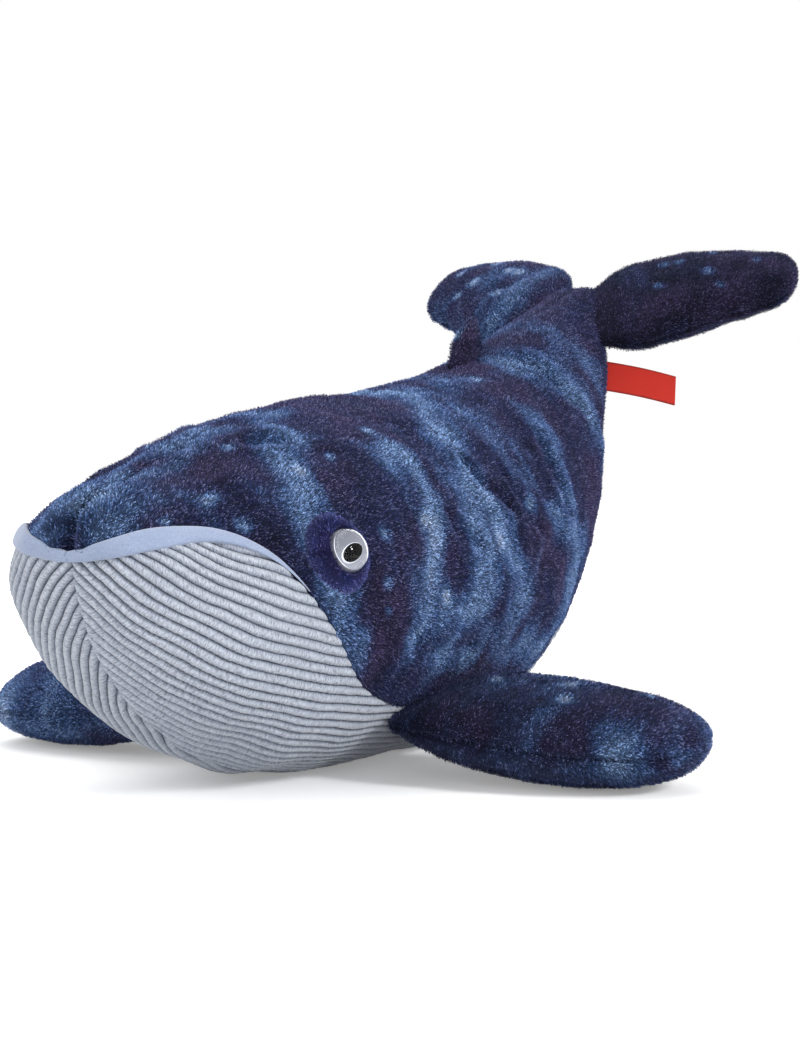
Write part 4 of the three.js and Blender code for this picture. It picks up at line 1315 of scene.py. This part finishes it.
def ribbon():
    """Red woven ribbon with darker edges."""
    material, n, shader = new_material("ribbon", 0.7, 0.05, "#ff9a8a", Specular_IOR_Level=0.2)
    cloth = n.cloth()
    parts = n.add("ShaderNodeSeparateXYZ", {0: cloth}).outputs
    warp = n.math("SINE", n.math("MULTIPLY", parts[0], 2 * math.pi / WEFT_PITCH))
    weft = n.math("SINE", n.math("MULTIPLY", parts[1], 2 * math.pi / WARP_PITCH))
    weave = n.math("MULTIPLY_ADD", n.math("MULTIPLY", warp, weft), 0.5, 0.5)
    edge = n.math("GREATER_THAN", n.math("ABSOLUTE", parts[1]), TAG_WIDTH / 2 - SELVEDGE)
    body = n.mix(weave, colour("#a8231a"), colour("#bf3024"))
    paint(n, shader, n.mix(n.math("MULTIPLY", edge, 0.5), body, colour("#8e2118")))
    bump(n, shader, weave, 0.3, 0.0002)
    return material


plush, patch_cloth, cord, velvet = printed_plush(), patch_plush(), corduroy(), velour()
clear, silver, black, white, red = clear_plastic(), silver_paint(), black_paint(), white_plastic(), ribbon()

# what each piece is

# Each row: the piece, its material and slot, the body it rides on, and the solids it stands for
BACK_SOLIDS = ["back_panel_left", "back_panel_right", "body_stuffing"]
PIECES = [
    (back_plush, plush, "printed_plush", "whale_body", BACK_SOLIDS),
    (cord_left, cord, "corduroy", "whale_body", ["belly_panel_left"]),
    (cord_right, cord, "corduroy", "whale_body", ["belly_panel_right"]),
    (lip_velour, velvet, "velour", "whale_body", ["lip_band"]),
    (patch_left, patch_cloth, "patch_plush", "whale_body", ["eye_patch_left"]),
    (patch_right, patch_cloth, "patch_plush", "whale_body", ["eye_patch_right"]),
    (dome_left, clear, "clear_plastic", "whale_body", ["eye_dome_left"]),
    (dome_right, clear, "clear_plastic", "whale_body", ["eye_dome_right"]),
    (iris_left, silver, "silver_paint", "whale_body", ["eye_iris_left"]),
    (iris_right, silver, "silver_paint", "whale_body", ["eye_iris_right"]),
    (pupil_left, black, "black_paint", "whale_body", ["eye_pupil_left"]),
    (pupil_right, black, "black_paint", "whale_body", ["eye_pupil_right"]),
    (tag, red, "ribbon", "tail_tag", ["tail_tag"]),
]
for piece, material, slot, body, nodes in PIECES:
    piece.data.materials.append(material)
    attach(piece, body)
    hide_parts(*nodes)

for piece in (back_pile_left, back_pile_right):
    piece.data.materials.append(plush)
    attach(piece, "whale_body")
for piece in (patch_pile_left, patch_pile_right):
    piece.data.materials.append(patch_cloth)
    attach(piece, "whale_body")

# Each row: a limb and its pile, its body, its place, and how far on each side of its seam it bends
flip = Matrix.Scale(-1, 4, (1, 0, 0))
LIMBS = [
    (flipper_left, flipper_pile_left, "flipper_left", flipper_place, 0.010),
    (flipper_right, flipper_pile_right, "flipper_right", flip @ flipper_place, 0.010),
    (fluke_left, fluke_pile_left, "fluke_left", fluke_place, 0.008),
    (fluke_right, fluke_pile_right, "fluke_right", flip @ fluke_place, 0.008),
    (fin, fin_pile, "back_fin", fin_place, 0.004),
]
for skin, hair, body, place, reach in LIMBS:
    start, end = tuple(place @ Vector((-reach, 0, 0))), tuple(place @ Vector((reach, 0, 0)))
    for piece in (skin, hair):
        piece.data.materials.append(plush)
        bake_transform(piece, "whale_body", body, start=start, end=end)
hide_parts("flipper_upper_left", "flipper_lower_left", "flipper_stuffing_left")
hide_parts("flipper_upper_right", "flipper_lower_right", "flipper_stuffing_right")
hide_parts("fluke_upper_left", "fluke_lower_left", "fluke_stuffing_left")
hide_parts("fluke_upper_right", "fluke_lower_right", "fluke_stuffing_right")
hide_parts("back_fin_left", "back_fin_right")

for name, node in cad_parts.items():
    if name.startswith(("eye_shank", "eye_washer")):
        node.data.materials.clear()
        node.data.materials.append(white)

# floor and light

BLACK, WHITE, FLOOR_GREY = (0, 0, 0, 1), (1, 1, 1, 1), (0.8, 0.8, 0.8, 1)
FAR_GLOW = 1.1  # how fast the floor turns white away from the toy, for each metre
ROOM_LIGHT, OPEN_LIGHT = 0.4, 0.6  # the room's own light, and what rays that see the studio get more


def stage_floor():
    """A pale floor that keeps the toy's shadow and turns white away from it."""
    bpy.ops.mesh.primitive_plane_add(size=12, location=(0, 0, 0))
    floor = bpy.context.active_object
    floor.name = "floor"
    floor.select_set(False)
    material = bpy.data.materials.new("pale_floor")
    material.use_nodes = True
    n = Nodes(material.node_tree)
    shader = material.node_tree.nodes["Principled BSDF"]
    shader.inputs["Roughness"].default_value = 0.9
    seen_plain = n.open_ray()
    paint(n, shader, n.mix(seen_plain, FLOOR_GREY, WHITE))
    away = n.add("ShaderNodeVectorMath", {0: n.place()}, operation="LENGTH").outputs["Value"]
    glow = n.math("MULTIPLY_ADD", away, FAR_GLOW, -0.35, clamp=True)
    glow = n.math("MULTIPLY", n.math("MAXIMUM", glow, 0.25), seen_plain)
    n.tree.links.new(n.mix(glow, BLACK, WHITE), shader.inputs["Emission Color"])
    shader.inputs["Emission Strength"].default_value = 1.0
    floor.data.materials.append(material)


def soft_light(name, place, towards, size, power):
    """A square area lamp that faces a place."""
    lamp = bpy.data.lights.new(name, "AREA")
    lamp.shape, lamp.size, lamp.size_y, lamp.energy = "RECTANGLE", size, size, power
    holder = bpy.data.objects.new(name, lamp)
    bpy.context.scene.collection.objects.link(holder)
    holder.location = place
    holder.rotation_euler = (Vector(towards) - Vector(place)).to_track_quat("-Z", "Y").to_euler()


stage_floor()
TOY_MIDDLE, NEAR_EYE = (0, 0, 0.1), (0.07, -0.17, 0.1)
soft_light("top softbox", (-0.4, -0.1, 1.6), TOY_MIDDLE, size=1.5, power=13.5)
soft_light("front softbox", (-0.5, -1.55, 0.95), TOY_MIDDLE, size=1.1, power=10.5)
soft_light("side softbox", (0.9, -1.5, 0.45), TOY_MIDDLE, size=1.0, power=8)
soft_light("rear softbox", (-0.5, 1.4, 1.2), TOY_MIDDLE, size=1.0, power=11)
soft_light("small softbox", (1.07, -0.23, 0.55), NEAR_EYE, size=0.25, power=8)
world = bpy.data.worlds.new("studio")
bpy.context.scene.world = world
world.use_nodes = True
sky = Nodes(world.node_tree)
backdrop = world.node_tree.nodes["Background"]
room = sky.math("MULTIPLY_ADD", sky.open_ray(), OPEN_LIGHT, ROOM_LIGHT)
world.node_tree.links.new(room, backdrop.inputs["Strength"])
backdrop.inputs["Color"].default_value = WHITE

bpy.context.scene.view_settings.view_transform = "Standard"
